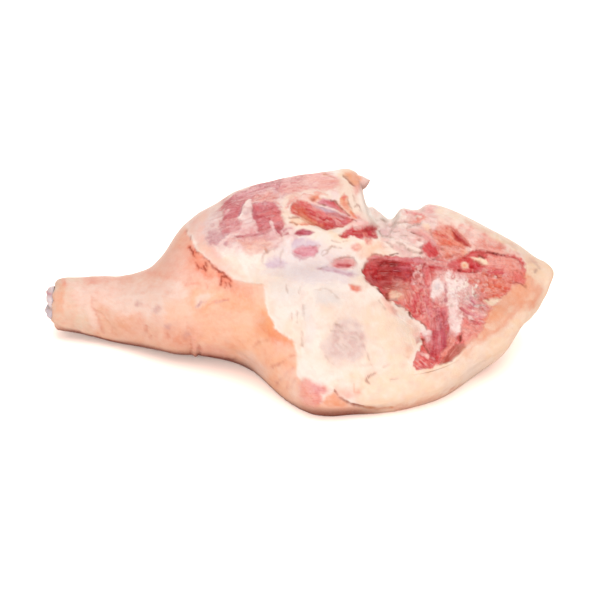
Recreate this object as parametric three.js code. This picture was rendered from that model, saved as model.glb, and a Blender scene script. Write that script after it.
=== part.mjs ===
// A raw pork leg without its trotter, lying on its rind side with the cut inner face up.
// Millimetres, +Z up. The leg runs along X, from the hock cut at -X to the rump at +X.
// The origin is on the table, under the middle of the leg's bounding box.

import * as THREE from "three";
import { mergeVertices } from "three/addons/utils/BufferGeometryUtils.js";

// Driving dimensions of the hock cut and of the bone end that shows in it.
const BONE_RADIUS = 19;
const BONE_PROUD = 10;
const BONE_DEPTH = 26;
const BONE_GROOVE = 2.4;
const BONE_GAP = 0.4;
const HOCK_RIM = 5;

// Driving dimensions of the rump's round tip, an ellipse taken up where its slope meets the leg's.
const TIP_ROUND = 12;
const TIP_START_DEGREES = 26;

// Facets: columns go round the leg and rows go along it.
const COLUMNS = 76;
const BODY_ROWS = 52;
const TIP_ROWS = 4;
const RIM_ROWS = 3;
const BONE_COLUMNS = 32;
const BONE_DOME_STEPS = 7;

// Cross-sections of the leg, each a squared ellipse split into an inner half and an outer half.
// y and z place its middle, half is its half width along the inner face, crown is how far
// the inner face stands above that line, depth how far the rind side lies below it, tilt turns
// the inner face towards -Y in degrees, and square is the exponent of the ellipse.
const STATIONS = [
  { place: "hock cut", x: -290, y: 56, z: 36, half: 28.5, crown: 28.5, depth: 28.5, tilt: 0, square: 2 },
  { place: "ankle", x: -246, y: 56, z: 36.5, half: 35, crown: 35, depth: 35, tilt: 0, square: 2 },
  { place: "shank", x: -207, y: 45, z: 39.5, half: 41, crown: 39, depth: 41, tilt: 8, square: 2 },
  { place: "calf", x: -172, y: 33, z: 48.5, half: 50, crown: 48, depth: 50, tilt: 20, square: 2 },
  { place: "knee", x: -142, y: 31, z: 66, half: 69, crown: 62, depth: 64, tilt: 38, square: 2 },
  { place: "stifle", x: -113, y: 34, z: 83.5, half: 86, crown: 66, depth: 79, tilt: 40, square: 2.1 },
  { place: "knuckle", x: -55, y: 22, z: 98, half: 114, crown: 59, depth: 98, tilt: 35, square: 2.3 },
  { place: "inner thigh", x: 15, y: -7, z: 98, half: 152, crown: 44, depth: 105, tilt: 31, square: 2.4 },
  { place: "widest", x: 68, y: -4, z: 97, half: 156, crown: 41, depth: 105, tilt: 31, square: 2.4 },
  { place: "hip", x: 121, y: -10, z: 91, half: 140, crown: 38, depth: 97, tilt: 31, square: 2.4 },
  { place: "rump", x: 191, y: -4, z: 85.5, half: 111, crown: 33, depth: 82, tilt: 31, square: 2.3 },
  { place: "rump edge", x: 261, y: 14, z: 83, half: 62, crown: 22, depth: 52, tilt: 31, square: 2.1 },
  { place: "tip", x: 291, y: 31, z: 89, half: 26, crown: 11.5, depth: 24, tilt: 31, square: 2 },
];
const FORM = ["y", "z", "half", "crown", "depth", "tilt", "square"];
const HOCK = STATIONS[0];
const TIP = STATIONS[STATIONS.length - 1];

// Muscles, hollows and cuts that swell or sink the inner face. Each one fades out over its
// reach along x, y and z, after a turn about +Z in degrees; an edge above 1 gives it a flat
// middle and a steeper side. lift is measured square to the inner face.
const FACE_TILT = 31;
const RELIEF = [
  { name: "knuckle muscle", at: [-40, 36, 174], reach: [60, 45, 60], lift: 8 },
  { name: "topside muscle", at: [44, -87, 95], reach: [70, 40, 50], lift: 8 },
  { name: "valley between the muscles", at: [9, -17, 142], reach: [85, 20, 45], turn: 9, lift: -10 },
  { name: "cut under the flank", at: [29, 35, 169], reach: [29, 15, 40], turn: -15, edge: 2, lift: -9 },
  { name: "rump cut", at: [196, -7, 112], reach: [74, 32, 50], turn: -6, edge: 2, lift: -11 },
  { name: "butt cut", at: [150, -57, 95], reach: [36, 48, 50], edge: 2, lift: -11 },
  { name: "hip pocket", at: [106, -24, 129], reach: [26, 14, 40], turn: -8, lift: -22 },
  { name: "rump fat ridge", at: [204, 55, 142], reach: [72, 15, 40], turn: -10, lift: 6 },
];

// Cuts that shift the leg's top edge bodily, by their own move.
const EDGE_CUTS = [
  { name: "notch between flank and rump", at: [101, 110, 170], reach: [21, 80, 80], edge: 2, move: [0, -28, -25] },
  { name: "slope up from the notch", at: [131, 105, 160], reach: [26, 70, 70], move: [0, -6, -10] },
  { name: "flank flap", at: [68, 113, 186], reach: [16, 40, 30], move: [3, 2, 4] },
];

// The cubic through the stations at x, whose slope at each one comes from its two neighbours.
function formAt(x) {
  const last = STATIONS.length - 1;
  const i = Math.max(STATIONS.findIndex((station) => station.x >= x) - 1, 0);
  const slope = (j, key) => {
    const before = STATIONS[Math.max(j - 1, 0)];
    const after = STATIONS[Math.min(j + 1, last)];
    return (after[key] - before[key]) / (after.x - before.x);
  };
  const [a, b] = [STATIONS[i], STATIONS[i + 1]];
  const span = b.x - a.x;
  const t = (x - a.x) / span;
  const form = {};
  for (const key of FORM) {
    form[key] =
      (2 * t ** 3 - 3 * t ** 2 + 1) * a[key] +
      (t ** 3 - 2 * t ** 2 + t) * span * slope(i, key) +
      (3 * t ** 2 - 2 * t ** 3) * b[key] +
      (t ** 3 - t ** 2) * span * slope(i + 1, key);
  }
  return form;
}

// A power that keeps the sign, as a squared ellipse needs.
function signedPower(value, power) {
  return Math.sign(value) * Math.abs(value) ** power;
}

// A point of the plain leg in a row: the row's section, shrunk about its middle, at an angle
// that starts at the far edge of the inner face and turns up over it.
function sectionPoint({ x, scale, form }, angle) {
  const tilt = THREE.MathUtils.degToRad(form.tilt);
  const across = scale * form.half * signedPower(Math.cos(angle), 2 / form.square);
  const lift = signedPower(Math.sin(angle), 2 / form.square);
  const above = scale * lift * (lift > 0 ? form.crown : form.depth);
  return new THREE.Vector3(
    x,
    form.y + across * Math.cos(tilt) - above * Math.sin(tilt),
    form.z + across * Math.sin(tilt) + above * Math.cos(tilt),
  );
}

// How much of a relief is left at a point: 1 in its middle and none past its reach.
function fade(point, { at, reach, turn = 0, edge = 1 }) {
  const angle = THREE.MathUtils.degToRad(turn);
  const dx = point.x - at[0];
  const dy = point.y - at[1];
  const along = (dx * Math.cos(angle) + dy * Math.sin(angle)) / reach[0];
  const across = (dy * Math.cos(angle) - dx * Math.sin(angle)) / reach[1];
  const up = (point.z - at[2]) / reach[2];
  return Math.exp(-((along ** 2 + across ** 2 + up ** 2) ** edge));
}

// The plain leg with its muscles and cuts, flattened where it lies on the table.
function legPoint(row, angle) {
  const plain = sectionPoint(row, angle);
  const tilt = THREE.MathUtils.degToRad(FACE_TILT);
  const faceNormal = new THREE.Vector3(0, -Math.sin(tilt), Math.cos(tilt));
  const shaped = plain.clone();
  for (const relief of RELIEF) shaped.addScaledVector(faceNormal, relief.lift * fade(plain, relief));
  for (const cut of EDGE_CUTS) shaped.addScaledVector(new THREE.Vector3(...cut.move), fade(plain, cut));
  shaped.z = Math.max(shaped.z, 0);
  return shaped;
}

// The rows along the leg, from the floor of the bone's socket, out over the hock cut's rim,
// along the body and round the tip. Each has its section's form, and the scale that shrinks it.
function legRows() {
  const socketScale = (BONE_RADIUS + BONE_GAP) / HOCK.half;
  const socketFloor = HOCK.x + BONE_DEPTH + BONE_GAP;
  const rows = [
    { x: socketFloor, scale: 0, form: HOCK },
    { x: socketFloor, scale: socketScale, form: HOCK },
    { x: HOCK.x, scale: socketScale, form: HOCK },
  ];
  for (let i = 0; i <= RIM_ROWS; i++) {
    const turn = (i / RIM_ROWS) * (Math.PI / 2);
    const x = HOCK.x + HOCK_RIM * (1 - Math.cos(turn));
    rows.push({ x, scale: 1 - (HOCK_RIM * (1 - Math.sin(turn))) / HOCK.half, form: formAt(x) });
  }
  for (let i = 1; i <= BODY_ROWS; i++) {
    const x = THREE.MathUtils.lerp(HOCK.x + HOCK_RIM, TIP.x, i / BODY_ROWS);
    rows.push({ x, scale: 1, form: formAt(x) });
  }
  const tipStart = THREE.MathUtils.degToRad(TIP_START_DEGREES);
  for (let i = 1; i <= TIP_ROWS; i++) {
    const turn = THREE.MathUtils.lerp(tipStart, Math.PI / 2, i / TIP_ROWS);
    const x = TIP.x + TIP_ROUND * (Math.sin(turn) - Math.sin(tipStart));
    rows.push({ x, scale: Math.cos(turn) / Math.cos(tipStart), form: TIP });
  }
  return rows;
}

// One closed solid: a sphere's grid, with its poles in the bone's socket and at the tip.
function legGeometry() {
  const rows = legRows();
  const geometry = new THREE.SphereGeometry(1, COLUMNS, rows.length - 1);
  const { position, uv } = geometry.attributes;
  for (let i = 0; i < position.count; i++) {
    const row = rows[Math.round((1 - uv.getY(i)) * (rows.length - 1))];
    const point = legPoint(row, -2 * Math.PI * uv.getX(i));
    position.setXYZ(i, point.x, point.y, point.z);
  }
  return closed(geometry);
}

// The shank bone's end: a round stub with a domed face of gristle, grooved across its middle.
function boneGeometry() {
  const profile = [new THREE.Vector2(0, -BONE_DEPTH), new THREE.Vector2(BONE_RADIUS, -BONE_DEPTH)];
  for (let i = 0; i <= BONE_DOME_STEPS; i++) {
    const turn = (i / BONE_DOME_STEPS) * (Math.PI / 2);
    profile.push(new THREE.Vector2(BONE_RADIUS * Math.cos(turn), BONE_PROUD * Math.sin(turn) ** 0.8));
  }
  profile[profile.length - 1].x = 0;
  const geometry = new THREE.LatheGeometry(profile, BONE_COLUMNS);
  const { position } = geometry.attributes;
  for (let i = 0; i < position.count; i++) {
    const height = position.getY(i);
    const across = position.getZ(i) / BONE_RADIUS;
    const dome = Math.max(height, 0) / BONE_PROUD;
    position.setY(i, height - BONE_GROOVE * dome * Math.exp(-((across / 0.3) ** 2)));
  }
  return closed(geometry);
}

// The same surface with its shared vertices merged, so that it is one closed body.
function closed(geometry) {
  geometry.deleteAttribute("normal");
  geometry.deleteAttribute("uv");
  const merged = mergeVertices(geometry, 1e-3);
  const kept = [];
  for (let i = 0; i < merged.index.count; i += 3) {
    const corner = [0, 1, 2].map((j) => merged.index.getX(i + j));
    if (new Set(corner).size === 3) kept.push(...corner);
  }
  merged.setIndex(kept);
  merged.computeVertexNormals();
  return merged;
}

const rind = new THREE.MeshStandardMaterial({ color: "#f6c3a6", roughness: 0.45, metalness: 0 });
const gristle = new THREE.MeshStandardMaterial({ color: "#d9d3dc", roughness: 0.35, metalness: 0 });

const leg = new THREE.Mesh(legGeometry(), rind);
leg.name = "leg";

const shankBone = new THREE.Mesh(boneGeometry(), gristle);
shankBone.name = "shank_bone";
shankBone.rotation.z = Math.PI / 2;
shankBone.position.set(HOCK.x, HOCK.y, HOCK.z);

const porkLeg = new THREE.Group();
porkLeg.add(leg, shankBone);

export default porkLeg;
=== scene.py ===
# %% [markdown]
# # A raw pork leg on its rind side
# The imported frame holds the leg's true size: one solid for the meat and one for the bone end
# that shows at the hock cut. This notebook dresses both. Everything is in metres and stays in
# the frame, so nothing is moved or fitted afterwards.

# %% Load the frame
import math
import bpy
import numpy as np
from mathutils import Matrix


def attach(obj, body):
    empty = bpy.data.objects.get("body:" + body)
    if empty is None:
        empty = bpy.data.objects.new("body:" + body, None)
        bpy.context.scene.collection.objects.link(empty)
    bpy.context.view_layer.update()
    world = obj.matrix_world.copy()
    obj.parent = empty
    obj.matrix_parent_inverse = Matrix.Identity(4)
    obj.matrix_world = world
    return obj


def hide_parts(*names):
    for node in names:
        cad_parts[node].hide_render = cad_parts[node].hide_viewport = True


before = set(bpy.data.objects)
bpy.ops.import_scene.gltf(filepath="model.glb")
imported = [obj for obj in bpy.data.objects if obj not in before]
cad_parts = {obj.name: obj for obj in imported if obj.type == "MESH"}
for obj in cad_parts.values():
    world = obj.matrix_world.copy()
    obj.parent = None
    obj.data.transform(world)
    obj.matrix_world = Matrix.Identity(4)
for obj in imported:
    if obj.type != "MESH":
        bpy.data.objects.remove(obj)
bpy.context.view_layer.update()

MM = 0.001
print("nodes:", sorted(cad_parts))

# %% [markdown]
# ## The camera
# The photograph looks along +Y and 30 degrees down. Its scale, pixels per millimetre at the
# middle of the leg, and its distance give the lens. The same numbers also tell where a point of
# the leg falls in the picture, so a patch of fat or lean can be placed by the pixels it covers.

# %% Set up the camera and the photograph's frame
PHOTO_SIZE = 600
PIXELS_PER_MM = 0.8537
CAMERA_DISTANCE = 2.1
CAMERA_ELEVATION = math.radians(30)
CAMERA_TARGET = np.array([0.004, 0.0045, 0.074])
SENSOR_MM = 36

PIXELS_PER_METRE = PIXELS_PER_MM / MM
FOCAL_PIXELS = PIXELS_PER_METRE * CAMERA_DISTANCE
ACROSS = np.array([1.0, 0.0, 0.0])
LOOK = np.array([0.0, math.cos(CAMERA_ELEVATION), -math.sin(CAMERA_ELEVATION)])
UP = np.array([0.0, math.sin(CAMERA_ELEVATION), math.cos(CAMERA_ELEVATION)])
EYE = CAMERA_TARGET - CAMERA_DISTANCE * LOOK


def photo_pixel(points):
    """Where points fall in the photograph: their offset from the eye, divided by how far
    off they are."""
    ray = points - EYE
    away = ray @ LOOK
    right = PHOTO_SIZE / 2 + FOCAL_PIXELS * (ray @ ACROSS) / away
    down = PHOTO_SIZE / 2 - FOCAL_PIXELS * (ray @ UP) / away
    return right, down


lens = bpy.data.cameras.new("photo_camera")
lens.sensor_width = SENSOR_MM
lens.lens = SENSOR_MM * FOCAL_PIXELS / PHOTO_SIZE
camera = bpy.data.objects.new("photo_camera", lens)
camera.location = EYE
camera.rotation_euler = (math.pi / 2 - CAMERA_ELEVATION, 0, 0)
bpy.context.scene.collection.objects.link(camera)
bpy.context.scene.camera = camera
print("lens in mm:", round(lens.lens, 2), "eye:", EYE.round(3))

# %% [markdown]
# ## The leg's form
# A leg is a loft: cross-sections carried along the bone. The CAD solid uses 13 sections, and
# the same sections are repeated here in millimetres, so that the skin can be laid on them with far
# more points. Each is a squared ellipse, flatter over the inner face than on the rind side.

# %% Sections along the leg
# Each row: x, then the middle's y and z, half width, crown, depth, tilt in degrees and squareness.
STATIONS = np.array([
    (-290, 56, 36, 28.5, 28.5, 28.5, 0, 2),  # hock cut
    (-246, 56, 36.5, 35, 35, 35, 0, 2),  # ankle
    (-207, 45, 39.5, 41, 39, 41, 8, 2),  # shank
    (-172, 33, 48.5, 50, 48, 50, 20, 2),  # calf
    (-142, 31, 66, 69, 62, 64, 38, 2),  # knee
    (-113, 34, 83.5, 86, 66, 79, 40, 2.1),  # stifle
    (-55, 22, 98, 114, 59, 98, 35, 2.3),  # knuckle
    (15, -7, 98, 152, 44, 105, 31, 2.4),  # inner thigh
    (68, -4, 97, 156, 41, 105, 31, 2.4),  # widest
    (121, -10, 91, 140, 38, 97, 31, 2.4),  # hip
    (191, -4, 85.5, 111, 33, 82, 31, 2.3),  # rump
    (261, 14, 83, 62, 22, 52, 31, 2.1),  # rump edge
    (291, 31, 89, 26, 11.5, 24, 31, 2),  # tip
])
HOCK_X, TIP_X = STATIONS[0, 0], STATIONS[-1, 0]
HOCK_HALF = STATIONS[0, 3]


def form_at(x):
    """The sections' sizes at each x: a cubic between neighbours, whose slope at a station
    is the rise between the stations on its two sides divided by the run."""
    knots, sizes = STATIONS[:, 0], STATIONS[:, 1:]
    before = np.maximum(np.arange(len(knots)) - 1, 0)
    after = np.minimum(np.arange(len(knots)) + 1, len(knots) - 1)
    slopes = (sizes[after] - sizes[before]) / (knots[after] - knots[before])[:, None]
    i = np.clip(np.searchsorted(knots, x) - 1, 0, len(knots) - 2)
    span = (knots[i + 1] - knots[i])[:, None]
    t = (x - knots[i])[:, None] / span
    return (
        (2 * t**3 - 3 * t**2 + 1) * sizes[i]
        + (t**3 - 2 * t**2 + t) * span * slopes[i]
        + (3 * t**2 - 2 * t**3) * sizes[i + 1]
        + (t**3 - t**2) * span * slopes[i + 1]
    )


def signed_power(value, power):
    """A power that keeps the sign, as a squared ellipse needs."""
    return np.sign(value) * np.abs(value) ** power


def plain_leg(x, form, scale, angle):
    """The plain loft: each row's squared ellipse, shrunk about its middle and tilted. The angle
    starts at the far edge of the inner face and turns up over it."""
    y, z, half, crown, depth, tilt, square = (size[:, None] for size in form.T)
    tilt = np.radians(tilt)
    across = scale[:, None] * half * signed_power(np.cos(angle), 2 / square)
    rise = signed_power(np.sin(angle), 2 / square)
    above = scale[:, None] * rise * np.where(rise > 0, crown, depth)
    return np.stack([
        np.broadcast_to(x[:, None], across.shape),
        y + across * np.cos(tilt) - above * np.sin(tilt),
        z + across * np.sin(tilt) + above * np.cos(tilt),
    ], axis=-1)


print("sections:", len(STATIONS), "length in mm:", TIP_X - HOCK_X)

# %% [markdown]
# ## Muscles, hollows and cuts
# The inner face isn't a plain crown. Two muscles swell on it with a valley between, the butcher's
# knife has left shallow cuts and one deep pocket, and a notch parts the flank from the rump. Each
# is a smooth bump that fades out over its reach, as in the CAD solid, with a few finer ones.

# %% Large relief of the inner face
FACE_TILT = math.radians(31)
FACE_NORMAL = np.array([0.0, -math.sin(FACE_TILT), math.cos(FACE_TILT)])
# Each row: middle, reach along x, y and z, turn about +Z in degrees, edge, lift.
RELIEF = [
    ((-40, 36, 174), (60, 45, 60), 0, 1, 8),  # knuckle muscle
    ((44, -87, 95), (70, 40, 50), 0, 1, 8),  # topside muscle
    ((9, -17, 142), (85, 20, 45), 9, 1, -10),  # valley between the muscles
    ((29, 35, 169), (29, 15, 40), -15, 2, -9),  # cut under the flank
    ((196, -7, 112), (74, 32, 50), -6, 2, -11),  # rump cut
    ((150, -57, 95), (36, 48, 50), 0, 2, -11),  # butt cut
    ((106, -24, 129), (26, 14, 40), -8, 1, -22),  # hip pocket
    ((204, 55, 142), (72, 15, 40), -10, 1, 6),  # rump fat ridge
]
# Each row: middle, reach, edge, and the move that shifts the leg's top edge bodily.
EDGE_CUTS = [
    ((100, 110, 170), (20, 80, 80), 2, (0, -28, -25)),  # notch between flank and rump
    ((131, 105, 160), (26, 70, 70), 1, (0, -6, -10)),  # slope up from the notch
    ((74, 113, 184), (9, 34, 30), 1, (0, -1, -2)),  # falling corner of the flank
    ((84, 105, 172), (6, 36, 36), 2, (0, -6, -5)),  # sharper side of the notch
    ((82, 108, 178), (5, 40, 40), 2, (0, -5, -4)),  # step under the flap
    ((110, 88, 152), (11, 26, 26), 1, (0, -5, -4)),  # floor of the notch
    ((136, 92, 158), (15, 45, 45), 2, (0, -6, -5)),  # torn corner of the rump
    ((297, 34, 98), (12, 24, 12), 1, (7, 0, -1)),  # sharp tip
    ((282, 44, 108), (26, 26, 12), 1, (0, -1, -4)),  # lower crest by the tip
    ((-43, 92, 186), (26, 40, 16), 1, (0, -2, -3)),  # lower crest of the knuckle
    ((62, 115, 186), (14, 20, 12), 1, (0, 2, 2)),  # root of the flap
    ((122, 95, 160), (7, 26, 26), 1, (0, -2, -3)),  # near side of the notch
    ((208, -82, 26), (36, 40, 34), 1, (-2, 6, 5)),  # flat cut of the near corner
    ((262, -22, 42), (15, 34, 30), 1, (0, 7, 11)),  # flat cut below the tip
    ((-136, 62, 126), (15, 50, 50), 1, (0, 3, 5)),  # fuller knee
    ((-95, 78, 152), (18, 50, 50), 1, (0, -2, -3)),  # flatter stifle
    ((-280, 56, 66), (18, 34, 20), 1, (0, 0, 5)),  # fuller rim of the hock
    ((-235, 26, 6), (42, 24, 14), 1, (0, -5, -1)),  # belly of the shank on the floor
    ((-122, -2, 12), (36, 30, 18), 1, (0, -6, -1)),  # fold under the calf
    ((-62, -60, 22), (40, 40, 30), 1, (0, 9, 5)),  # hollow below the thigh
    ((10, -70, 10), (44, 36, 18), 1, (0, -5, -2)),  # near edge on the floor
]


def fade(points, middle, reach, turn, edge):
    """1 in the middle and none past the reach: a bell of the scaled distance, steeper with edge."""
    turn = math.radians(turn)
    dx, dy, dz = np.moveaxis(points - np.array(middle), -1, 0)
    along = (dx * math.cos(turn) + dy * math.sin(turn)) / reach[0]
    across = (dy * math.cos(turn) - dx * math.sin(turn)) / reach[1]
    return np.exp(-((along**2 + across**2 + (dz / reach[2]) ** 2) ** edge))


def shaped_leg(x, form, scale, angle):
    """The plain loft with every bump and cut added to it, flattened where it lies on the floor."""
    plain = plain_leg(x, form, scale, angle)
    shaped = plain.copy()
    for middle, reach, turn, edge, rise in RELIEF:
        shaped += rise * fade(plain, middle, reach, turn, edge)[..., None] * FACE_NORMAL
    for middle, reach, edge, move in EDGE_CUTS:
        shaped += fade(plain, middle, reach, 0, edge)[..., None] * np.array(move)
    shaped[..., 2] = np.maximum(shaped[..., 2], 0)
    return shaped


print("bumps and cuts:", len(RELIEF) + len(EDGE_CUTS))

# %% [markdown]
# ## A grid laid on the leg
# Rows go along the leg and columns go round it. Rows start inside the bone's socket, come out over
# the rim of the hock cut, run along the body and close over the round tip. Points are
# spent where the eye looks: they are dense on the inner face and sparse on the plain rind below.

# %% Rows and columns of the whole leg
BONE_RADIUS, BONE_GAP, BONE_DEPTH = 19, 0.4, 26
HOCK_RIM = 5
TIP_ROUND, TIP_START = 12, math.radians(26)
COLUMNS = 280
HIDDEN_SHARE, HIDDEN_RISE = 0.3, (-0.45, -0.2)
SHANK_SPACING, BODY_SPACING, SPACING_CHANGE = 2.6, 1.55, (-160, -110)
RULER_MARKS, FINE_ANGLES = 4000, 1441
SOCKET_ROWS, RIM_ROWS, TIP_ROWS = 6, 6, 11


def spread(start, stop, spacing):
    """Places from start to stop with gaps that follow spacing: its reciprocal is summed along
    a fine ruler, and the sum is cut into equal shares."""
    ruler = np.linspace(start, stop, RULER_MARKS)
    crowd = 1 / spacing(ruler)
    total = np.concatenate([[0], np.cumsum((crowd[1:] + crowd[:-1]) / 2 * np.diff(ruler))])
    return np.interp(np.linspace(0, total[-1], round(total[-1]) + 1), total, ruler)


def body_spacing(x):
    """The gap between rows: wide on the shank, and close from the knee on."""
    return np.interp(x, SPACING_CHANGE, (SHANK_SPACING, BODY_SPACING))


def hidden_less(angle):
    """How much girth counts at an angle: little on the hidden rind below, all of it elsewhere."""
    return np.interp(np.sin(angle), HIDDEN_RISE, (HIDDEN_SHARE, 1))


def even_angles(x, form, scale, limits, columns, closed, share):
    """Angles round each row between two limits, at even shares of its weighted girth."""
    angle = np.linspace(*limits, FINE_ANGLES)
    points = shaped_leg(x, form, scale, np.broadcast_to(angle, (len(x), len(angle))))
    weight = share((angle[1:] + angle[:-1]) / 2)
    girth = np.cumsum(np.linalg.norm(np.diff(points, axis=1), axis=-1) * weight, axis=1)
    girth = np.pad(girth, ((0, 0), (1, 0)))
    steps = np.linspace(0, 1, columns, endpoint=not closed)
    return np.array([np.interp(steps * total[-1], total, angle) for total in girth])


socket_floor = HOCK_X + BONE_DEPTH + BONE_GAP
socket_scale = (BONE_RADIUS + BONE_GAP) / HOCK_HALF
rim_turn = np.linspace(0, math.pi / 2, RIM_ROWS)
tip_turn = np.linspace(TIP_START, math.pi / 2, TIP_ROWS)[1:]
socket_x = np.linspace(socket_floor, HOCK_X, SOCKET_ROWS)
rim_x = HOCK_X + HOCK_RIM * (1 - np.cos(rim_turn))
body_x = spread(HOCK_X + HOCK_RIM, TIP_X, body_spacing)[1:]
tip_x = TIP_X + TIP_ROUND * (np.sin(tip_turn) - math.sin(TIP_START))

row_x = np.concatenate([[socket_floor], socket_x, rim_x, body_x, tip_x])
row_scale = np.concatenate([
    [0],
    np.full(len(socket_x), socket_scale),
    1 - HOCK_RIM * (1 - np.sin(rim_turn)) / HOCK_HALF,
    np.ones(len(body_x)),
    np.cos(tip_turn) / math.cos(TIP_START),
])
form_x = np.clip(row_x, HOCK_X, TIP_X)
form_x[: len(socket_x) + 1] = HOCK_X
row_form = form_at(form_x)

ring = slice(1, len(row_x) - 1)
WHOLE_TURN = (-math.pi / 2, 1.5 * math.pi)
ring_rows = row_x[ring], row_form[ring], row_scale[ring]
ring_angle = even_angles(*ring_rows, WHOLE_TURN, COLUMNS, True, hidden_less)
leg_grid = shaped_leg(*ring_rows, ring_angle) * MM
leg_poles = shaped_leg(row_x[[0, -1]], row_form[[0, -1]], np.zeros(2), np.zeros((2, 1)))[:, 0] * MM
print("rows and columns:", leg_grid.shape[:2], "triangles:", 2 * leg_grid.shape[0] * leg_grid.shape[1])

# %% [markdown]
# ## Finer grids for the open flesh
# Two regions carry detail as fine as a fibre: the muscles by the knuckle and flank, and the open
# cut of the rump. Each becomes a piece of its own, a block of flesh let into the leg, whose top is
# a grid twice as fine. It follows the same form, so the blocks and the leg meet without a step.

# %% Grids of the two open regions
# Each region: limits along x in millimetres, limits round the leg in degrees, and the spacing.
UPPER_LIMITS = (-118, 98), (16, 112), 0.74
CUT_LIMITS = (70, 280), (24, 146), 0.78
SAMPLE_ANGLES = 200


def region_grid(x_limits, angle_limits, spacing):
    """A grid on part of the leg: rows every spacing along it, and columns at even girth
    between two angles."""
    x = np.arange(*x_limits, spacing)
    form, scale = form_at(x), np.ones(len(x))
    limits = np.radians(angle_limits)
    coarse = np.broadcast_to(np.linspace(*limits, SAMPLE_ANGLES), (len(x), SAMPLE_ANGLES))
    sample = shaped_leg(x, form, scale, coarse)
    longest = np.linalg.norm(np.diff(sample, axis=1), axis=-1).sum(axis=1).max()
    angle = even_angles(x, form, scale, limits, round(longest / spacing), False, np.ones_like)
    return shaped_leg(x, form, scale, angle) * MM


upper_grid = region_grid(*UPPER_LIMITS)
cut_grid = region_grid(*CUT_LIMITS)
for name, grid in (("upper", upper_grid), ("cut", cut_grid)):
    print(name, grid.shape[:2], "triangles:", 2 * grid.shape[0] * grid.shape[1])

# %% [markdown]
# ## Noise for uneven flesh
# Flesh is uneven at every scale. One kind of noise serves all of it: random values on a cubic
# lattice, blended smoothly inside each cell. The table of values comes from a seeded generator, so
# each run gives the same leg.

# %% Lattice noise
LATTICE_SEED, LATTICE_SIZE = 1207, 4096
LATTICE = np.random.default_rng(LATTICE_SEED).uniform(-1, 1, LATTICE_SIZE)
HASH_PRIMES = np.array([73856093, 19349663, 83492791])
SEED_STEP = 31.7


def noise(points, size, seed=0):
    """Smooth values from -1 to 1: each cell of the lattice blends the random values at its
    eight corners by a smoothstep of the place inside the cell."""
    cell = points / size + SEED_STEP * (seed + 1)
    corner = np.floor(cell).astype(np.int64)
    part = cell - corner
    part = part * part * (3 - 2 * part)
    total = np.zeros(points.shape[:-1])
    for step in np.ndindex(2, 2, 2):
        key = (corner + np.array(step)) * HASH_PRIMES
        value = LATTICE[(key[..., 0] ^ key[..., 1] ^ key[..., 2]) & (LATTICE_SIZE - 1)]
        total += value * np.prod(np.where(step, part, 1 - part), axis=-1)
    return total


def layered(points, layers):
    """A sum of noises, each with its share, size and seed."""
    return sum(share * noise(points, size, seed) for share, size, seed in layers)


def smooth(value, low=0.0, high=1.0):
    """0 below low, 1 above high, and a smoothstep between."""
    t = np.clip((value - low) / (high - low), 0, 1)
    return t * t * (3 - 2 * t)


def grid_normals(points, closed):
    """Outward directions of a grid: the step to the next column crossed with the step to the
    next row. A closed grid goes on from its last column to its first."""
    if closed:
        round_step = np.roll(points, -1, axis=1) - np.roll(points, 1, axis=1)
    else:
        round_step = np.gradient(points, axis=1)
    normal = np.cross(round_step, np.gradient(points, axis=0))
    return normal / np.maximum(np.linalg.norm(normal, axis=-1, keepdims=True), 1e-12)


print("lattice values:", len(LATTICE), "mean:", LATTICE.mean().round(3))

# %% [markdown]
# ## The flap at the notch
# Beside the notch the end of the flank stands up and curls over like a beak. A loft can't
# overhang, so the flap is a bent cone of its own: rings along a short path, laid out in the
# picture's plane at the depth of the leg's far edge, from a root inside the flank to the tip.

# %% Grid of the flap
FLAP_DEPTH = 0.108
# Each row: pixel right and down, then the ring's half height and half depth in millimetres.
FLAP_PATH = np.array([
    (347, 202, 9, 9),
    (350, 192, 10, 11),
    (354, 185, 11.5, 12),
    (359, 183, 11, 11),
    (364, 182, 8, 9),
    (367.5, 181, 4.5, 6),
    (370, 180, 1.2, 2),
])
FLAP_ROWS, FLAP_COLUMNS = 56, 64


def behind_pixel(u, v, y):
    """The point at depth y on the line from the eye through a pixel."""
    right = (u - PHOTO_SIZE / 2) / FOCAL_PIXELS
    down = (v - PHOTO_SIZE / 2) / FOCAL_PIXELS
    ray = LOOK + right[..., None] * ACROSS - down[..., None] * UP
    return EYE + ray * ((y - EYE[1]) / ray[..., 1])[..., None]


steps = np.linspace(0, len(FLAP_PATH) - 1, FLAP_ROWS)
marks = np.arange(len(FLAP_PATH))
path = np.stack([np.interp(steps, marks, column) for column in FLAP_PATH.T], axis=1)
centre = behind_pixel(path[:, 0], path[:, 1], FLAP_DEPTH)
heading = np.gradient(centre, axis=0)
heading /= np.linalg.norm(heading, axis=1, keepdims=True)
sideways = np.cross(LOOK, heading)
turns = np.linspace(0, 2 * math.pi, FLAP_COLUMNS, endpoint=False)[:, None]
flap_grid = (
    centre[:, None]
    + np.cos(turns) * sideways[:, None] * path[:, 2, None, None] * MM
    + np.sin(turns) * LOOK * path[:, 3, None, None] * MM
)
flap_poles = centre[[0, -1]]
print("flap rings:", flap_grid.shape[:2], "tip in mm:", (flap_poles[1] / MM).round(1))

# %% [markdown]
# ## Painting with areas and lines
# On the real leg the finish changes from rind to fat to lean within a hand's width. A painter would
# lay the patches down one over the other, and that is done here too. Each patch is a closed outline
# or a line in the photograph's pixels, with a tone, a soft edge, a ragged wander and a lift that
# raises or sinks the surface under it. Four kinds follow the paint: rind, fat, lean and wet sinew.

# %% The palette
KINDS = ("rind", "fat", "lean", "sinew")
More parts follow.
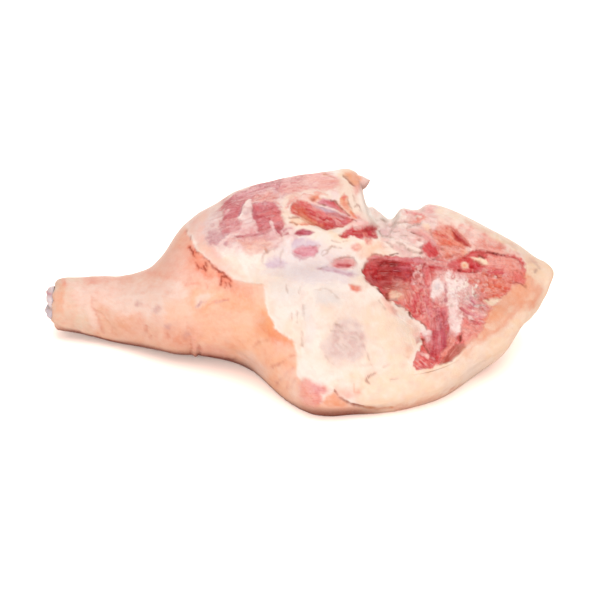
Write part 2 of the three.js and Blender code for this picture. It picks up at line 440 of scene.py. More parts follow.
# Each tone: red, green and blue as seen in the photograph, then its kind.
RIND = 251, 200, 173, "rind"
PALE_RIND = 252, 222, 206, "rind"
ROSY_RIND = 247, 187, 167, "rind"
PEACH_RIND = 254, 197, 161, "rind"
ORANGE_RIND = 247, 172, 126, "rind"
TAN_RIND = 239, 187, 157, "rind"
YELLOW_RIND = 237, 211, 188, "rind"
RED_RIND = 243, 136, 108, "rind"
BRUISE = 214, 166, 160, "rind"
# Tan for blotches and pores, and the painted shade of the creases, of the sides of the skin tag and of the
# near edge.
TAN_AND_CREASE_SHADE = 220, 146, 122, "rind"
NICK = 166, 70, 52, "rind"
# Painted shadow: the dark of the floor contact and of the gap under the shank.
CONTACT_SHADOW = 130, 56, 40, "rind"
WHITE_FAT = 253, 238, 225, "fat"
CREAM_FAT = 252, 232, 216, "fat"
IVORY_FAT = 250, 225, 206, "fat"
PEACH_FAT = 252, 222, 194, "fat"
TAN_FAT = 241, 180, 151, "fat"
PINK_FAT = 248, 203, 190, "fat"
GREY_FAT = 232, 207, 197, "fat"
COOL_FAT = 238, 224, 216, "fat"
ORANGE_FAT = 242, 168, 130, "fat"
AMBER_FAT = 212, 138, 98, "fat"
GREY_SCRATCH = 198, 166, 152, "fat"
SEAM = 162, 96, 80, "fat"
BROWN_SEAM = 126, 58, 44, "fat"
LILAC_MEMBRANE = 221, 194, 204, "sinew"
BLUE_MEMBRANE = 237, 221, 221, "sinew"
PINK_MEMBRANE = 238, 206, 200, "sinew"
WHITE_SINEW = 250, 226, 219, "sinew"
GREY_SINEW = 216, 198, 197, "sinew"
BLUE_GRISTLE = 214, 202, 208, "sinew"
PALE_LEAN = 240, 188, 180, "lean"
SALMON_LEAN = 240, 160, 146, "lean"
ROSE_LEAN = 226, 150, 160, "lean"
PINK_LEAN = 219, 130, 134, "lean"
CORAL_LEAN = 236, 120, 114, "lean"
ORANGE_LEAN = 234, 128, 105, "lean"
RED_LEAN = 214, 84, 86, "lean"
CRIMSON_LEAN = 200, 60, 68, "lean"
DARK_LEAN = 180, 60, 58, "lean"
DEEP_LEAN = 144, 22, 22, "lean"
PURPLE_LEAN = 184, 90, 104, "lean"
MAUVE_LEAN = 204, 140, 150, "lean"
BROWN_LEAN = 190, 98, 86, "lean"
CLOT = 118, 26, 22, "lean"


def seen(tone):
    """A tone as light: its 0 to 255 values put through the display curve."""
    value = np.array(tone[:3]) / 255
    return np.where(value <= 0.04045, value / 12.92, ((value + 0.055) / 1.055) ** 2.4)


print("kinds:", KINDS, "and red lean as light:", seen(RED_LEAN).round(3))

# %% [markdown]
# ## Canvases
# A grid with its paint is a canvas. Every patch is laid on every canvas that it reaches, so the paint
# runs on across the pieces. A mask keeps a patch on the side that the photograph shows: only
# the face, a little over its crest, or wrapped further round.

# %% The canvases
# Facing is 1 towards the eye and -1 away from it. A mask grows from none to full between two.
FACE_FADE, CREST_FADE, WRAP_FADE = (0.02, 0.16), (-0.2, -0.06), (-0.3, 0.1)
FACE_WAVES, CREST_WAVES = [(0.05, 0.02, 9)], [(0.04, 0.015, 10)]
TURNED_AWAY = -0.35
# The far wall of the notch stays rind: short of an x, beyond a y and below a z, in metres.
WALL_X, WALL_Y, WALL_Z = (0.135, 0.150), (0.098, 0.108), (0.172, 0.182)
# Noises that thin the paint in clouds and make an outline wander: share, size in metres, seed.
CLOUDS = (1, 0.006, 7), (0.6, 0.0028, 8)
WANDER_RIGHT = (1, 0.012, 1), (0.7, 0.004, 2), (0.4, 0.0017, 3)
WANDER_DOWN = (1, 0.012, 4), (0.7, 0.004, 5), (0.4, 0.0017, 6)


class Canvas:
    """A grid of the leg's surface and what is painted on it, with one entry for each point."""

    def __init__(self, name, grid, closed, ground):
        self.name, self.grid, self.closed = name, grid, closed
        normals = grid_normals(grid, closed)
        toward_eye = EYE - grid
        facing = np.sum(normals * toward_eye, axis=-1) / np.linalg.norm(toward_eye, axis=-1)
        self.place, self.normals = grid.reshape(-1, 3), normals.reshape(-1, 3)
        self.facing = facing.ravel()
        self.u, self.v = photo_pixel(self.place)
        self.wander_u = layered(self.place, WANDER_RIGHT)
        self.wander_v = layered(self.place, WANDER_DOWN)
        self.cloud = layered(self.place, CLOUDS)
        x, y, z = self.place.T
        self.far_wall = smooth(y, *WALL_Y) * (1 - smooth(z, *WALL_Z)) * (1 - smooth(x, *WALL_X))
        face = smooth(self.facing + layered(self.place, FACE_WAVES), *FACE_FADE)
        crest = smooth(self.facing + layered(self.place, CREST_WAVES), *CREST_FADE)
        self.masks = {
            "face": face,
            "crest": crest + self.far_wall * (face - crest),
            "wrap": smooth(self.facing, *WRAP_FADE),
        }
        self.tone = np.broadcast_to(seen(ground), self.place.shape).copy()
        self.kind = np.zeros((len(self.place), len(KINDS)))
        self.kind[:, KINDS.index(ground[3])] = 1
        self.lift = np.zeros(len(self.place))
        self.grain = np.zeros(len(self.place))

    def within(self, low, high):
        """Indices of the points that fall inside a box of pixels and don't face away."""
        across = (self.u > low[0]) & (self.u < high[0])
        down = (self.v > low[1]) & (self.v < high[1])
        return np.nonzero(across & down & (self.facing > TURNED_AWAY))[0]

    def depth(self, outline):
        """How deep each point lies inside an outline, in pixels."""
        return depth_in(trace(outline), self.u, self.v)

    def fibred(self, layers):
        """A sum of noises drawn out along the fibres, each with its share, size and seed."""
        return sum(
            share * streaks(self.u, self.v, self.grain, size, seed) for share, size, seed in layers
        )

    def mix_tone(self, tone, share):
        """Mixes a tone into the paint by a share at each point: blotches, and also painted highlight and
        painted shadow.
        """
        self.tone += share[:, None] * (seen(tone) - self.tone)

    def blurred(self, field, times):
        """A field averaged with its neighbours on the grid, so many times over."""
        field = field.reshape(self.grid.shape[:2])
        for _ in range(times):
            padded = np.pad(field, ((1, 1), (0, 0)), mode="edge")
            field = (padded[:-2] + 2 * padded[1:-1] + padded[2:]) / 4
            padded = np.pad(field, ((0, 0), (1, 1)), mode="wrap" if self.closed else "edge")
            field = (padded[:, :-2] + 2 * padded[:, 1:-1] + padded[:, 2:]) / 4
        return field.ravel()


leg_canvas = Canvas("pork_leg", leg_grid, True, RIND)
upper_canvas = Canvas("knuckle_and_flank", upper_grid, False, WHITE_FAT)
cut_canvas = Canvas("rump_cut", cut_grid, False, WHITE_FAT)
flap_canvas = Canvas("flank_flap", flap_grid, True, PINK_FAT)
CANVASES = (leg_canvas, upper_canvas, cut_canvas, flap_canvas)
for canvas in CANVASES:
    print(canvas.name, "has", len(canvas.place), "points")

# %% [markdown]
# ## Brushes
# Three brushes lay the paint: an area inside an outline, an oval, and a line. Two more fill an
# outline with short strokes or with blotches at random, for the flecks that no one would set one
# by one. Outlines are written as pixels right and down, one corner after the other. Then come the
# brush's numbers: cover, soft edge, ragged wander, lift, and the turn of the fibres in degrees. A
# line has its width before them.

# %% The brushes
THINNING, WANDER_REACH = 0.35, 2.2
FIBRE_SIZE, FIBRE_STRETCH, BLOTCH_STRETCH = 0.003, 7, 2.5
GRAIN_WEIGHT = 0.4
LINE_SWELL = 0.35
FLECK_STRAY, FLECK_LENGTHS, FLECK_EDGE = 28, (0.4, 1.4), (1, 0.9)
BLOTCH_RIM, BLOTCH_SLOPE, BLOTCH_EDGE = 3, 4, (1, 0.25)
PATCHES = []


def trace(outline):
    """Corners from a written outline, each a pixel right and a pixel down. Corners that are
    traced already stay as they are."""
    if isinstance(outline, np.ndarray):
        return outline
    return np.array([corner.split(",") for corner in outline.split()], float)


def distance_to_edge(a, b, u, v):
    """Distance in pixels from a place to the straight edge between two points."""
    edge = b - a
    t = np.clip(((u - a[0]) * edge[0] + (v - a[1]) * edge[1]) / max(edge @ edge, 1e-9), 0, 1)
    return np.hypot(u - a[0] - t * edge[0], v - a[1] - t * edge[1])


def depth_in(corners, u, v):
    """How deep a place lies inside a closed outline, in pixels: the distance to the nearest edge,
    positive where a ray to the right crosses the outline an odd number of times."""
    nearest = np.full(u.shape, np.inf)
    inside = np.zeros(u.shape, bool)
    for a, b in zip(corners, np.roll(corners, -1, axis=0)):
        nearest = np.minimum(nearest, distance_to_edge(a, b, u, v))
        run = (b[0] - a[0]) / (b[1] - a[1]) if b[1] != a[1] else 0.0
        inside ^= ((a[1] > v) != (b[1] > v)) & (u < a[0] + (v - a[1]) * run)
    return np.where(inside, nearest, -nearest)


def grain_place(u, v, turn):
    """Places along and across fibres that lie at an angle in the picture, in metres."""
    along = (u * np.cos(turn) + v * np.sin(turn)) / PIXELS_PER_METRE
    across = (v * np.cos(turn) - u * np.sin(turn)) / PIXELS_PER_METRE
    return along, across


def streaks(u, v, turn, size, seed, stretch=FIBRE_STRETCH):
    """Noise drawn out to some times its size along the fibres."""
    along, across = grain_place(u, v, turn)
    return noise(np.stack([along / stretch, across, 0 * along], axis=-1), size, seed)


def lay(patch, tone, box, depth, cover, soft, rag, raised, turn, mask):
    """Lays a tone where depth is above zero, on every canvas: paint, kinds and lift blend by a soft
    edge, and the cover thins out in clouds, or in streaks where the patch has fibres."""
    PATCHES.append(patch)
    margin = soft + WANDER_REACH * rag
    for canvas in CANVASES:
        spots = canvas.within(np.min(box, axis=0) - margin, np.max(box, axis=0) + margin)
        u = canvas.u[spots] + rag * canvas.wander_u[spots]
        v = canvas.v[spots] + rag * canvas.wander_v[spots]
        cloud = canvas.cloud[spots]
        weight = smooth(depth(u, v, cloud), -soft, soft) * canvas.masks[mask][spots]
        thin = cloud
        if turn is not None:
            thin = streaks(u, v, math.radians(turn), FIBRE_SIZE, len(PATCHES))
            canvas.grain[spots[weight > GRAIN_WEIGHT]] = math.radians(turn)
        paint = (weight * np.clip(cover * (1 + THINNING * thin), 0, 1))[:, None]
        canvas.tone[spots] += paint * (seen(tone) - canvas.tone[spots])
        canvas.kind[spots] *= 1 - paint
        canvas.kind[spots, KINDS.index(tone[3])] += paint[:, 0]
        canvas.lift[spots] += raised * weight


def area(patch, tone, outline, cover=0.9, soft=1.5, rag=1.5, raised=0.0, turn=None, mask="face"):
    """A patch inside a closed outline, whose edge wanders by rag pixels."""
    corners = trace(outline)

    def depth(u, v, cloud):
        return depth_in(corners, u, v)

    lay(patch, tone, corners, depth, cover, soft, rag, raised, turn, mask)


def oval(patch, tone, middle, radii, cover=0.9, soft=1.5, rag=1.2, raised=0.0, turn=None, mask="face"):
    """A patch inside an ellipse, its depth taken from how far in the place lies."""
    middle, radii = np.array(middle), np.array(radii)

    def depth(u, v, cloud):
        return (1 - np.hypot((u - middle[0]) / radii[0], (v - middle[1]) / radii[1])) * radii.min()

    lay(patch, tone, [middle - radii, middle + radii], depth, cover, soft, rag, raised, turn, mask)


def line(patch, tone, route, width=1.5, cover=0.9, soft=1.0, rag=1.0, raised=0.0, mask="face"):
    """A stroke along a route of pixels, width across, that swells and thins in clouds."""
    corners = trace(route)

    def depth(u, v, cloud):
        away = [distance_to_edge(a, b, u, v) for a, b in zip(corners[:-1], corners[1:])]
        return width * (0.5 + LINE_SWELL * cloud) - np.min(away, axis=0)

    box = [corners.min(axis=0) - width, corners.max(axis=0) + width]
    lay(patch, tone, box, depth, cover, soft, rag, raised, None, mask)


def flecks(patch, tone, outline, count, length, turn, width, cover, raised):
    """Short strokes scattered inside an outline, along a turn that strays by some degrees, all
    drawn from a generator seeded by the number of patches so far."""
    corners = trace(outline)
    draw = np.random.default_rng(len(PATCHES))
    spots = draw.uniform(corners.min(axis=0), corners.max(axis=0), (4 * count, 2))
    spots = spots[depth_in(corners, *spots.T) > 0][:count]
    heading = np.radians(turn + draw.normal(0, FLECK_STRAY, len(spots)))
    half = length / 2 * draw.uniform(*FLECK_LENGTHS, (len(spots), 1))
    step = half * np.stack([np.cos(heading), np.sin(heading)], axis=1)
    for ends in zip(spots - step, spots + step):
        line(patch, tone, np.array(ends), width, cover, *FLECK_EDGE, raised)


def mottle(patch, tone, outline, size, level, cover=0.6, raised=0.0, turn=None, mask="face"):
    """Blotches inside an outline: a tone where a noise of a size in millimetres, drawn out along the
    turn if there is one, rises above a level."""
    corners = trace(outline)
    seed = len(PATCHES)

    def depth(u, v, cloud):
        if turn is None:
            flat = np.stack([u, v, 0 * u], axis=-1) / PIXELS_PER_METRE
            pattern = noise(flat, size * MM, seed) + 0.5 * noise(flat, size * MM / 2, seed + 1)
        else:
            pattern = streaks(u, v, math.radians(turn), size * MM, seed, BLOTCH_STRETCH)
        return np.minimum(depth_in(corners, u, v) / BLOTCH_RIM, BLOTCH_SLOPE * (pattern - level))

    lay(patch, tone, corners, depth, cover, *BLOTCH_EDGE, raised, turn, mask)


def covered(*kinds):
    """How much of the whole leg each kind of finish covers, in per cent."""
    shares = 100 * leg_canvas.kind.mean(axis=0)
    return ", ".join(f"{kind} {shares[KINDS.index(kind)]:.1f} %" for kind in kinds)


print("brushes ready for", len(CANVASES), "canvases")

# %% [markdown]
# ## The rind
# Rind wraps the whole outside: pale and yellowish at the hock, rosier up the thigh, with a bruise
# or two and red scuffs along the edge where the fat begins. Tones are laid wide and soft, and
# blotches of two sizes break them up.

# %% Paint the rind
RIND_SIDE = "40,260 150,255 186,222 200,252 236,278 264,284 270,320 298,345 302,415 240,400 40,350"
area("hock skin", YELLOW_RIND, "40,270 88,270 93,300 100,346 40,346", 0.85, 6, 3, mask="wrap")
area("shank top", ROSY_RIND, "76,268 150,264 186,248 192,280 130,284 90,284", 0.6, 6, 4, mask="wrap")
area("shank light", PALE_RIND, "66,284 150,280 178,288 190,306 156,316 110,318 80,308", 1.2, 8, 4)
area("shank belly", TAN_RIND, "98,322 150,320 196,326 204,360 150,356 98,350", 0.75, 6, 4, mask="wrap")
area("knee", ROSY_RIND, "160,258 184,226 192,246 206,274 196,292 170,286", 0.5, 8, 4)
area("calf light", PALE_RIND, "146,294 170,282 190,288 198,308 186,322 158,320", 0.7, 9, 4)
area("thigh", PEACH_RIND, "190,292 262,286 270,322 266,380 230,362 200,340", 1.2, 9, 4)
area("calf flush", RED_RIND, "150,322 172,322 196,328 198,348 168,344", 0.15, 6, 4)
area("haunch", ORANGE_RIND, "250,312 268,310 284,330 294,346 276,342 260,336", 1, 5, 3)
area("haunch blush", RED_RIND, "264,330 280,330 294,342 290,348 272,342", 0.4, 4, 2)
area("lower thigh", PEACH_RIND, "240,362 292,350 302,404 276,398 254,384", 1, 6, 3, mask="wrap")
# Painted shade: the calf's underside is redder and darker.
area("under the calf", RED_RIND, "199,345 214,344 226,349 236,357 232,362 199,360", 0.4, 3, 2, mask="wrap")
area("scuffed collar", RED_RIND,
    "186,234 194,246 199,256 214,266 233,279 248,290 240,296 222,288 206,276 193,266 187,250", 0.4, 6, 4)
area("knee scuff", RED_RIND, "190,246 200,254 208,262 204,272 194,266", 0.35, 5, 4)
area("thigh scuff", RED_RIND, "217,270 228,273 235,280 228,287 220,283", 0.85, 3, 2)
mottle("pale blotches", PALE_RIND, RIND_SIDE, 24, 0.1, 0.22, 0.3, mask="wrap")
mottle("rosy blotches", RED_RIND, RIND_SIDE, 16, 0.16, 0.1, -0.3, mask="wrap")
mottle("small pale spots", PALE_RIND, RIND_SIDE, 5, 0.25, 0.14, mask="wrap")
mottle("small rosy spots", RED_RIND, RIND_SIDE, 4, 0.3, 0.1, mask="wrap")
mottle("tan blotches", TAN_AND_CREASE_SHADE, RIND_SIDE, 7, 0.35, 0.1, -0.2, mask="wrap")
BRUISES = {(139, 304): 3, (157, 311): 3.4, (93, 281): 3, (168, 326): 2.6, (186, 336): 2.6}
for spot, radius in BRUISES.items():
    oval("bruise", BRUISE, spot, (radius, radius), 0.6, 2.4, 2)
area("tan rim", TAN_RIND, "55,284 63,282 64,300 60,314 55,312", 0.8, 3, 2, mask="wrap")
area("rim spot", RED_RIND, "61,279 65,279 65,287 61,287", 0.4, 2, 1.5, mask="wrap")
print(covered("rind"))

# %% [markdown]
# ## Creases and nicks
# The rind folds at the ankle and where the thigh meets the lip of fat, with painted shade in the folds.
# Short nicks, dark with dried blood, follow the collar where the knife slipped, and a small tag of skin
# hangs below the calf, with painted shade at its sides.

# %% Crease and nick the rind
CREASES = {
    "ankle fold": "93,297 91,303 93,310 96,317 99,326 104,334",
    "lower ankle fold": "97,312 104,318 109,324 112,330",
    "rim fold": "57,328 64,330 72,331 80,334",
    "calf fold": "146,327 145,333",
    "lower calf fold": "150,335 150,339",
    "shin fold": "168,333 169,338",
    "thigh fold": "253,346 258,342 266,340",
    "lip fold": "270,368 282,361 294,355",
    "outer lip fold": "276,384 284,375 292,368",
    "lip nick": "287,388 288,382 290,378",
    "second lip nick": "291,388 294,381 297,377",
}
# Painted shade: each crease is a darker line over a groove that the lift sinks.
for patch, route in CREASES.items():
    line(patch, TAN_AND_CREASE_SHADE, route, 2.4, 0.55, 1.8, 1.4, -1.3, mask="wrap")
line("ankle ridge", PALE_RIND, "89,296 87,306 90,316 95,328", 6, 0.6, 2.5, 1.2, 1.6)
area("ankle hollow", TAN_RIND, "94,300 104,304 114,314 118,330 106,332 98,320", 0.6, 4, 3, -0.8)
area("ankle blush", ROSY_RIND, "82,275 102,275 100,284 84,285", 0.7, 3, 2)
line("haunch ridge", ORANGE_RIND, "262,324 276,334 292,344", 6, 0.4, 3, 2, 1.4)
SCAR_LINES = ("196,307 200,303 206,300.5", "208,305 212,302 217,300", "217,303 222,301 227,300")
for route in SCAR_LINES:
    line("scar line", BRUISE, route, 1.8, 0.6, 1.2, 1, -0.5)
line("skin tag", ROSY_RIND, "195,338 195,357", 4.5, 0.5, 1.5, 0.6, 2.6, mask="wrap")
# Painted shade on both sides of the skin tag.
TAG_SIDES = ("191,344 191,356", "199,344 199,356")
for route in TAG_SIDES:
    line("beside the tag", TAN_AND_CREASE_SHADE, route, 2, 0.7, 1.2, 0.6, -1.5, mask="wrap")
area("pale scrape", PALE_RIND, "196,300 204,294 214,294 206,302 198,308", 0.8, 2.5, 2)
line("scrape shadow", BRUISE, "198,306 202,302 206,301", 1.6, 0.6, 1.2, 1.5, -0.4)
line("red scrape", RED_RIND, "208,305 216,302 228,299", 2, 0.4, 1.4, 2, -0.4)
line("shin scrape", RED_RIND, "186,285 193,284 200,285", 2, 0.35, 1.5, 1.5, -0.3)
line("knee scrape", RED_RIND, "204,282 207,287", 1.8, 0.4, 1.2, 1.2, -0.3)
NICKS = (
    "187,230 187,234", "193,241 194,244", "195,244 196,249", "197,250 199,254", "200,253 204,257",
    "204,257 208,261", "189,247 193,254", "195,262 198,267", "199,267 202,268", "203,266 206,270",
    "212,265 215,268", "219,270 223,273", "220,284 223,278", "225,287 227,282", "223,277 228,276",
    "216,264 219,266",
)
for route in NICKS:
    line("nick blush", RED_RIND, route, 4, 0.35, 2.2, 1.8)
    line("nick", NICK, route, 1.9, 0.85, 1, 1.6, -1.2)
print(covered("rind"), "with", len(NICKS), "nicks")

# %% [markdown]
# ## The fat under the rind
# Where the rind was cut away, cream fat covers the inner face, from a collar at the knee down to a
# thin lip of rind along the near edge. The fat is whitest in the middle and warmer to the right.

# %% Lay the fat
INNER_FACE = (
    "182,216 186,230 190,240 197,251 206,258 214,263 224,269 234,278 246,283 262,283 266,289 265,304 "
    "271,319 280,332 293,341 297,352 297,376 300,380 320,404 343,404 365,408 400,407 440,395 480,379 "
    "508,355 534,318 546,291 553,266 530,235 430,185 390,150 250,150"
)
area("inner face", WHITE_FAT, INNER_FACE, 1.7, 1.2, 1.4, -1, mask="crest")
area("collar", PINK_FAT, "184,222 208,206 206,240 222,256 244,278 226,272 206,258 192,240", 1.2, 4, 3,
    mask="crest")
area("knee edge", PINK_FAT, "180,222 200,206 240,186 280,174 282,180 240,196 204,216 190,232", 0.6, 4, 3,
    mask="crest")
area("middle", IVORY_FAT, "322,300 380,296 412,330 408,372 352,376 322,372", 0.8, 12, 5)
area("near edge", PEACH_FAT,
    "345,376 412,368 470,350 510,318 545,280 556,262 550,300 505,370 430,408 360,412", 0.95, 6, 3,
    mask="crest")
area("beside the wedge", PEACH_FAT, "380,300 396,318 416,336 410,375 388,372", 0.6, 7, 3)
area("tip", PEACH_FAT, "538,262 556,262 552,284 540,306 534,312 541,290", 0.85, 3, 2, mask="crest")
# Painted shade along the near edge, where it turns under.
line("near edge shade", TAN_AND_CREASE_SHADE, "398,410 420,404 450,394 470,385", 6, 0.5, 2.5, 1, 0, mask="crest")
mottle("warm fat", PEACH_FAT, INNER_FACE, 18, 0.12, 0.4)
mottle("grey fat", GREY_FAT, INNER_FACE, 9, 0.28, 0.22)
mottle("rosy fat", PINK_FAT, INNER_FACE, 6, 0.3, 0.2)
RUMP_RIM = (
    "462,340 480,322 488,308 498,296 510,282 522,280 526,268 538,266 543,290 537,307 515,316 499,333 "
    "479,342 464,346"
)
area("rump rim", TAN_FAT, RUMP_RIM, 1.3, 3.5, 2, 0.6)
mottle("rim lights", PEACH_FAT, RUMP_RIM, 9, 0.15, 0.35)
print(covered("fat", "rind"))

# %% [markdown]
# ## The fat face
# The broad fat face carries small marks: a mauve blotch where the meat below shows through,
# faint scratches, a pink oval by the lip and a fold that runs in from the near edge.

# %% Marks on the fat face
area("mauve blotch", GREY_FAT,
    "336,320 352,317 364,324 369,340 366,354 352,362 336,363 324,354 322,342 329,330", 1, 5, 4, -0.4)
mottle("blotch mottle", BRUISE, "334,322 362,322 366,346 352,358 330,354", 5, 0.1, 0.3, -0.3)
area("cool patch", COOL_FAT, "312,290 326,287 340,292 342,304 326,306 314,302", 0.8, 4, 3)
area("cool upper patch", COOL_FAT, "270,284 284,281 300,286 298,298 282,300 272,294", 0.6, 5, 3)
area("cool strip", COOL_FAT, "303,304 312,308 316,330 312,346 303,340", 0.6, 4, 3)
flecks("blotch marks", GREY_SCRATCH, "330,322 362,322 364,352 330,358", 12, 6, 25, 1.6, 0.3, -0.3)
SCRATCHES = (
    "303,304 304,312 303,321", "301,331 302,345", "297,311 297,322", "291,313 292,319",
    "325,355 329,360 335,364", "343,343 348,347 353,349", "314,290 324,288 332,291 339,298",
    "404,356 409,357", "337,324 343,327", "330,330 335,331", "368,352 370,360", "360,366 372,364",
    "384,366 388,364", "392,380 398,379", "470,371 478,366 486,361",
)
for route in SCRATCHES:
    line("scratch", GREY_SCRATCH, route, 1.6, 0.5, 1.2, 1.2, -0.5)
area("red spot", ORANGE_LEAN, "349,284 355,284 361,286 361,290 356,292 351,289", 0.95, 2, 1, -0.6)
area("pink oval", SALMON_LEAN,
    "299,385 306,379 315,381 325,386 330,391 322,394 322,402 316,406 305,405 300,398", 0.85, 4, 1.5, 0.9)
area("pink oval core", ROSE_LEAN, "311,384 320,384 325,390 318,394 311,391", 0.45, 3, 2)
area("tan lip", TAN_FAT, "322,403 326,396 334,392 340,396 346,402 354,406 330,408", 0.95, 2, 1)
area("lip shade", ORANGE_FAT, "326,403 332,396 338,395 346,403 340,407", 0.6, 2.5, 1.5)
area("pink by the lip", PINK_FAT, "342,392 350,391 353,398 347,400", 0.95, 2, 1.5)
line("lip seam", SEAM, "335,391 340,397 346,402 354,405 364,407", 2, 0.8, 1, 0.8, -1.6)
line("lip seam end", AMBER_FAT, "362,407 376,409 392,408", 1.6, 0.6, 1, 0.6, -0.8)
line("curl", SEAM, "377,372 370,375 366,378 366,381 369,384", 1.6, 0.55, 1.1, 1, -0.9)
line("short mark", AMBER_FAT, "354,384 354,393 361,392", 1.8, 0.6, 1.1, 0.8, -0.7)
print(covered("fat", "lean"))

# %% [markdown]
# ## The knuckle muscle
# At the far left the fat is thin, and the round knuckle muscle shows through a skin of membrane:
# pink lean broken by white wedges, with darker creases where it dives under the fat.

# %% Paint the knuckle
KNUCKLE = "205,240 206,226 214,212 226,202 240,192 262,183 284,176 286,205 288,236 276,248 250,250 226,246"
area("knuckle membrane", PINK_MEMBRANE,
    "203,244 205,228 211,213 222,202 240,190 262,178 284,172 286,205 288,236 282,249 262,255 240,252 "
    "222,250", 0.85, 5, 3, 0.4, mask="crest")
area("left edge", PINK_MEMBRANE, "202,222 212,210 226,202 224,212 214,224 206,236", 0.5, 4, 3)
area("left membrane", MAUVE_LEAN, "206,238 212,230 222,232 226,238 220,246 209,245", 0.55, 4, 2, 0, 40)
area("left flush", MAUVE_LEAN, "220,230 230,228 232,235 224,238", 0.6, 3, 2, 0, 10)
area("knuckle top", PINK_LEAN,
    "218,208 224,200 238,191 250,184 264,178 282,174 283,189 268,191 254,197 244,202 236,202 226,208", 1, 3,
    2.5, 0.4, -24, mask="crest")
area("knuckle left", PINK_LEAN, "222,214 228,203 242,202 241,212 237,219 229,221 222,220", 1.2, 2.5, 2, 0.4,
    -8)
area("left fold", PINK_LEAN, "219,221 229,219 242,222 242,229 232,233 221,232", 0.8, 3, 2, 0.3, 3)
area("knuckle crown", SALMON_LEAN, "254,193 268,191 277,193 277,204 270,204 260,203 251,199", 0.9, 3, 2,
    0.4, -12)
area("main knuckle", PINK_LEAN,
    "250,203 262,202 276,204 284,211 285,222 280,229 270,229 262,232 256,226 253,216", 1.5, 2, 2, 0.8, 35)
area("main shade", PURPLE_LEAN, "249,206 255,210 258,218 256,221 251,213", 0.4, 2.5, 1.5, -0.4, 60)
area("main blush", CORAL_LEAN, "268,210 280,210 283,221 272,222", 0.4, 4, 2, 0, 35)
area("knuckle foot", DARK_LEAN, "258,228 264,226 272,227 271,231 264,234 258,232", 0.6, 2.5, 1.5, -0.8, 5)
area("knuckle corner", DEEP_LEAN, "275,228 279,225 283,226 282,229 278,231", 0.6, 1.6, 1, -1.2)
print(covered("lean", "sinew"))

# %% Paint the whites and creases of the knuckle
line("dark bit", PURPLE_LEAN, "279,231 283,236 288,233", 2.6, 0.85, 1.2, 1, -0.8)
line("dark bit top", MAUVE_LEAN, "284,230 288,228 291,228", 2.4, 0.8, 1.1, 0.8, -0.6)
# Painted shade in the crease under the wedge.
line("wedge crease", PURPLE_LEAN, "234,235 242,236 252,235 262,232", 2.4, 0.75, 1.1, 1, -0.8)
# Painted highlight along the ridge over the crease.
line("crease ridge", WHITE_SINEW, "222,240 230,235 240,232 252,231.5", 2.2, 0.6, 1.1, 1, 0.6)
area("white wedge", WHITE_SINEW,
    "250,198 252,204 249,209 252,217 257,226 255,230 246,230 240,229 242,223 237,219 241,212 244,204", 0.95,
    2, 1.4, 0.8, 75)
line("wedge ridge", WHITE_FAT, "249,199 244,206 241,213 238,219", 2.2, 0.6, 1.2, 1, 0.8)
area("wedge shade", PINK_MEMBRANE, "244,210 250,211 255,222 254,229 245,228", 0.85, 2.5, 1.5, 0, 75)
area("left of the fold", PALE_LEAN, "222,240 236,235 258,235 262,240 250,246 236,243 226,246", 0.6, 3, 2.5,
    0, 8)
area("warm foot", TAN_FAT, "240,240 262,237 270,242 266,250 254,256 244,252", 0.4, 4, 3, 0.2, 15)
line("left crease", MAUVE_LEAN, "227,239 225,244", 2, 0.6, 1.2, 1, -0.5)
line("left crease foot", WHITE_SINEW, "234,232 228,237 220,244", 2.4, 0.6, 1.3, 1, 0.4)
line("left spike", WHITE_SINEW, "229,211 226,214 220,218 212,219", 3, 0.6, 1.4, 1, 0.3)
line("tendon tip", WHITE_SINEW, "271,223 273,229 276,236 281,239", 3.2, 0.95, 1.2, 1, 0.7)
line("wedge rim", MAUVE_LEAN, "243,203 241,210 239,216", 1.6, 0.8, 0.9, 0.8, -0.7)
area("folds below", BRUISE, "272,246 278,245 279,249 274,251", 0.6, 1.8, 1.2, -0.5)
line("fold below right", AMBER_FAT, "264,247 266,251", 2, 0.5, 1.1, 0.8, -0.5)
line("valley rim", GREY_SCRATCH, "262,262 264,254 270,250 276,250", 1.8, 0.5, 1.2, 1, -0.6)
line("far edge shade", PURPLE_LEAN, "256,187 266,184 274,182", 1.8, 0.5, 1, 0.6, 0, mask="crest")
mottle("knuckle lights", PALE_LEAN, KNUCKLE, 3, 0.24, 0.22, 0.2, -20)
mottle("knuckle shades", PURPLE_LEAN, KNUCKLE, 2.4, 0.24, 0.2, -0.2, -20)
mottle("foot mottle", BRUISE, "238,238 266,236 268,252 246,254", 3, 0.1, 0.3, -0.2)
mottle("white bits", WHITE_SINEW, KNUCKLE, 2.4, 0.42, 0.14, 0.2, -14)
print(covered("lean", "sinew"))

# %% [markdown]
# ## The flank
# A salmon strip of muscle runs along the far edge and ends in the flap of fat that stands up by the
# notch. Its folds are orange where the light comes through.

# %% Paint the flank
STRIP = "279,190 282,178 300,173 324,170 338,176 340,186 326,189 308,190 294,194 286,198 280,196"
area("flank strip", SALMON_LEAN, STRIP, 0.65, 2.5, 1.5, 0.5, -7, mask="crest")
area("flank strip light", PALE_LEAN, "284,183 304,178 326,176 338,180 330,187 306,188 288,190", 0.35, 3, 2,
    0, -7)
area("strip start", PINK_LEAN, "279,177 292,174 304,175 302,184 290,192 280,192", 0.5, 6, 3, 0, -12,
    mask="crest")
mottle("strip lights", PINK_FAT, STRIP, 2.4, 0.1, 0.3, 0.2, -7)
mottle("strip shades", PINK_LEAN, STRIP, 2, 0.2, 0.35, -0.3, -7)
line("strip foot", MAUVE_LEAN, "282,197 290,193 300,191", 2.6, 0.45, 1.5, 1.2, -0.5)
line("far crest", AMBER_FAT, "324,173 330,176 335,179", 2.2, 0.65, 1.2, 0.8, -0.6, mask="crest")
print(covered("fat", "lean"))

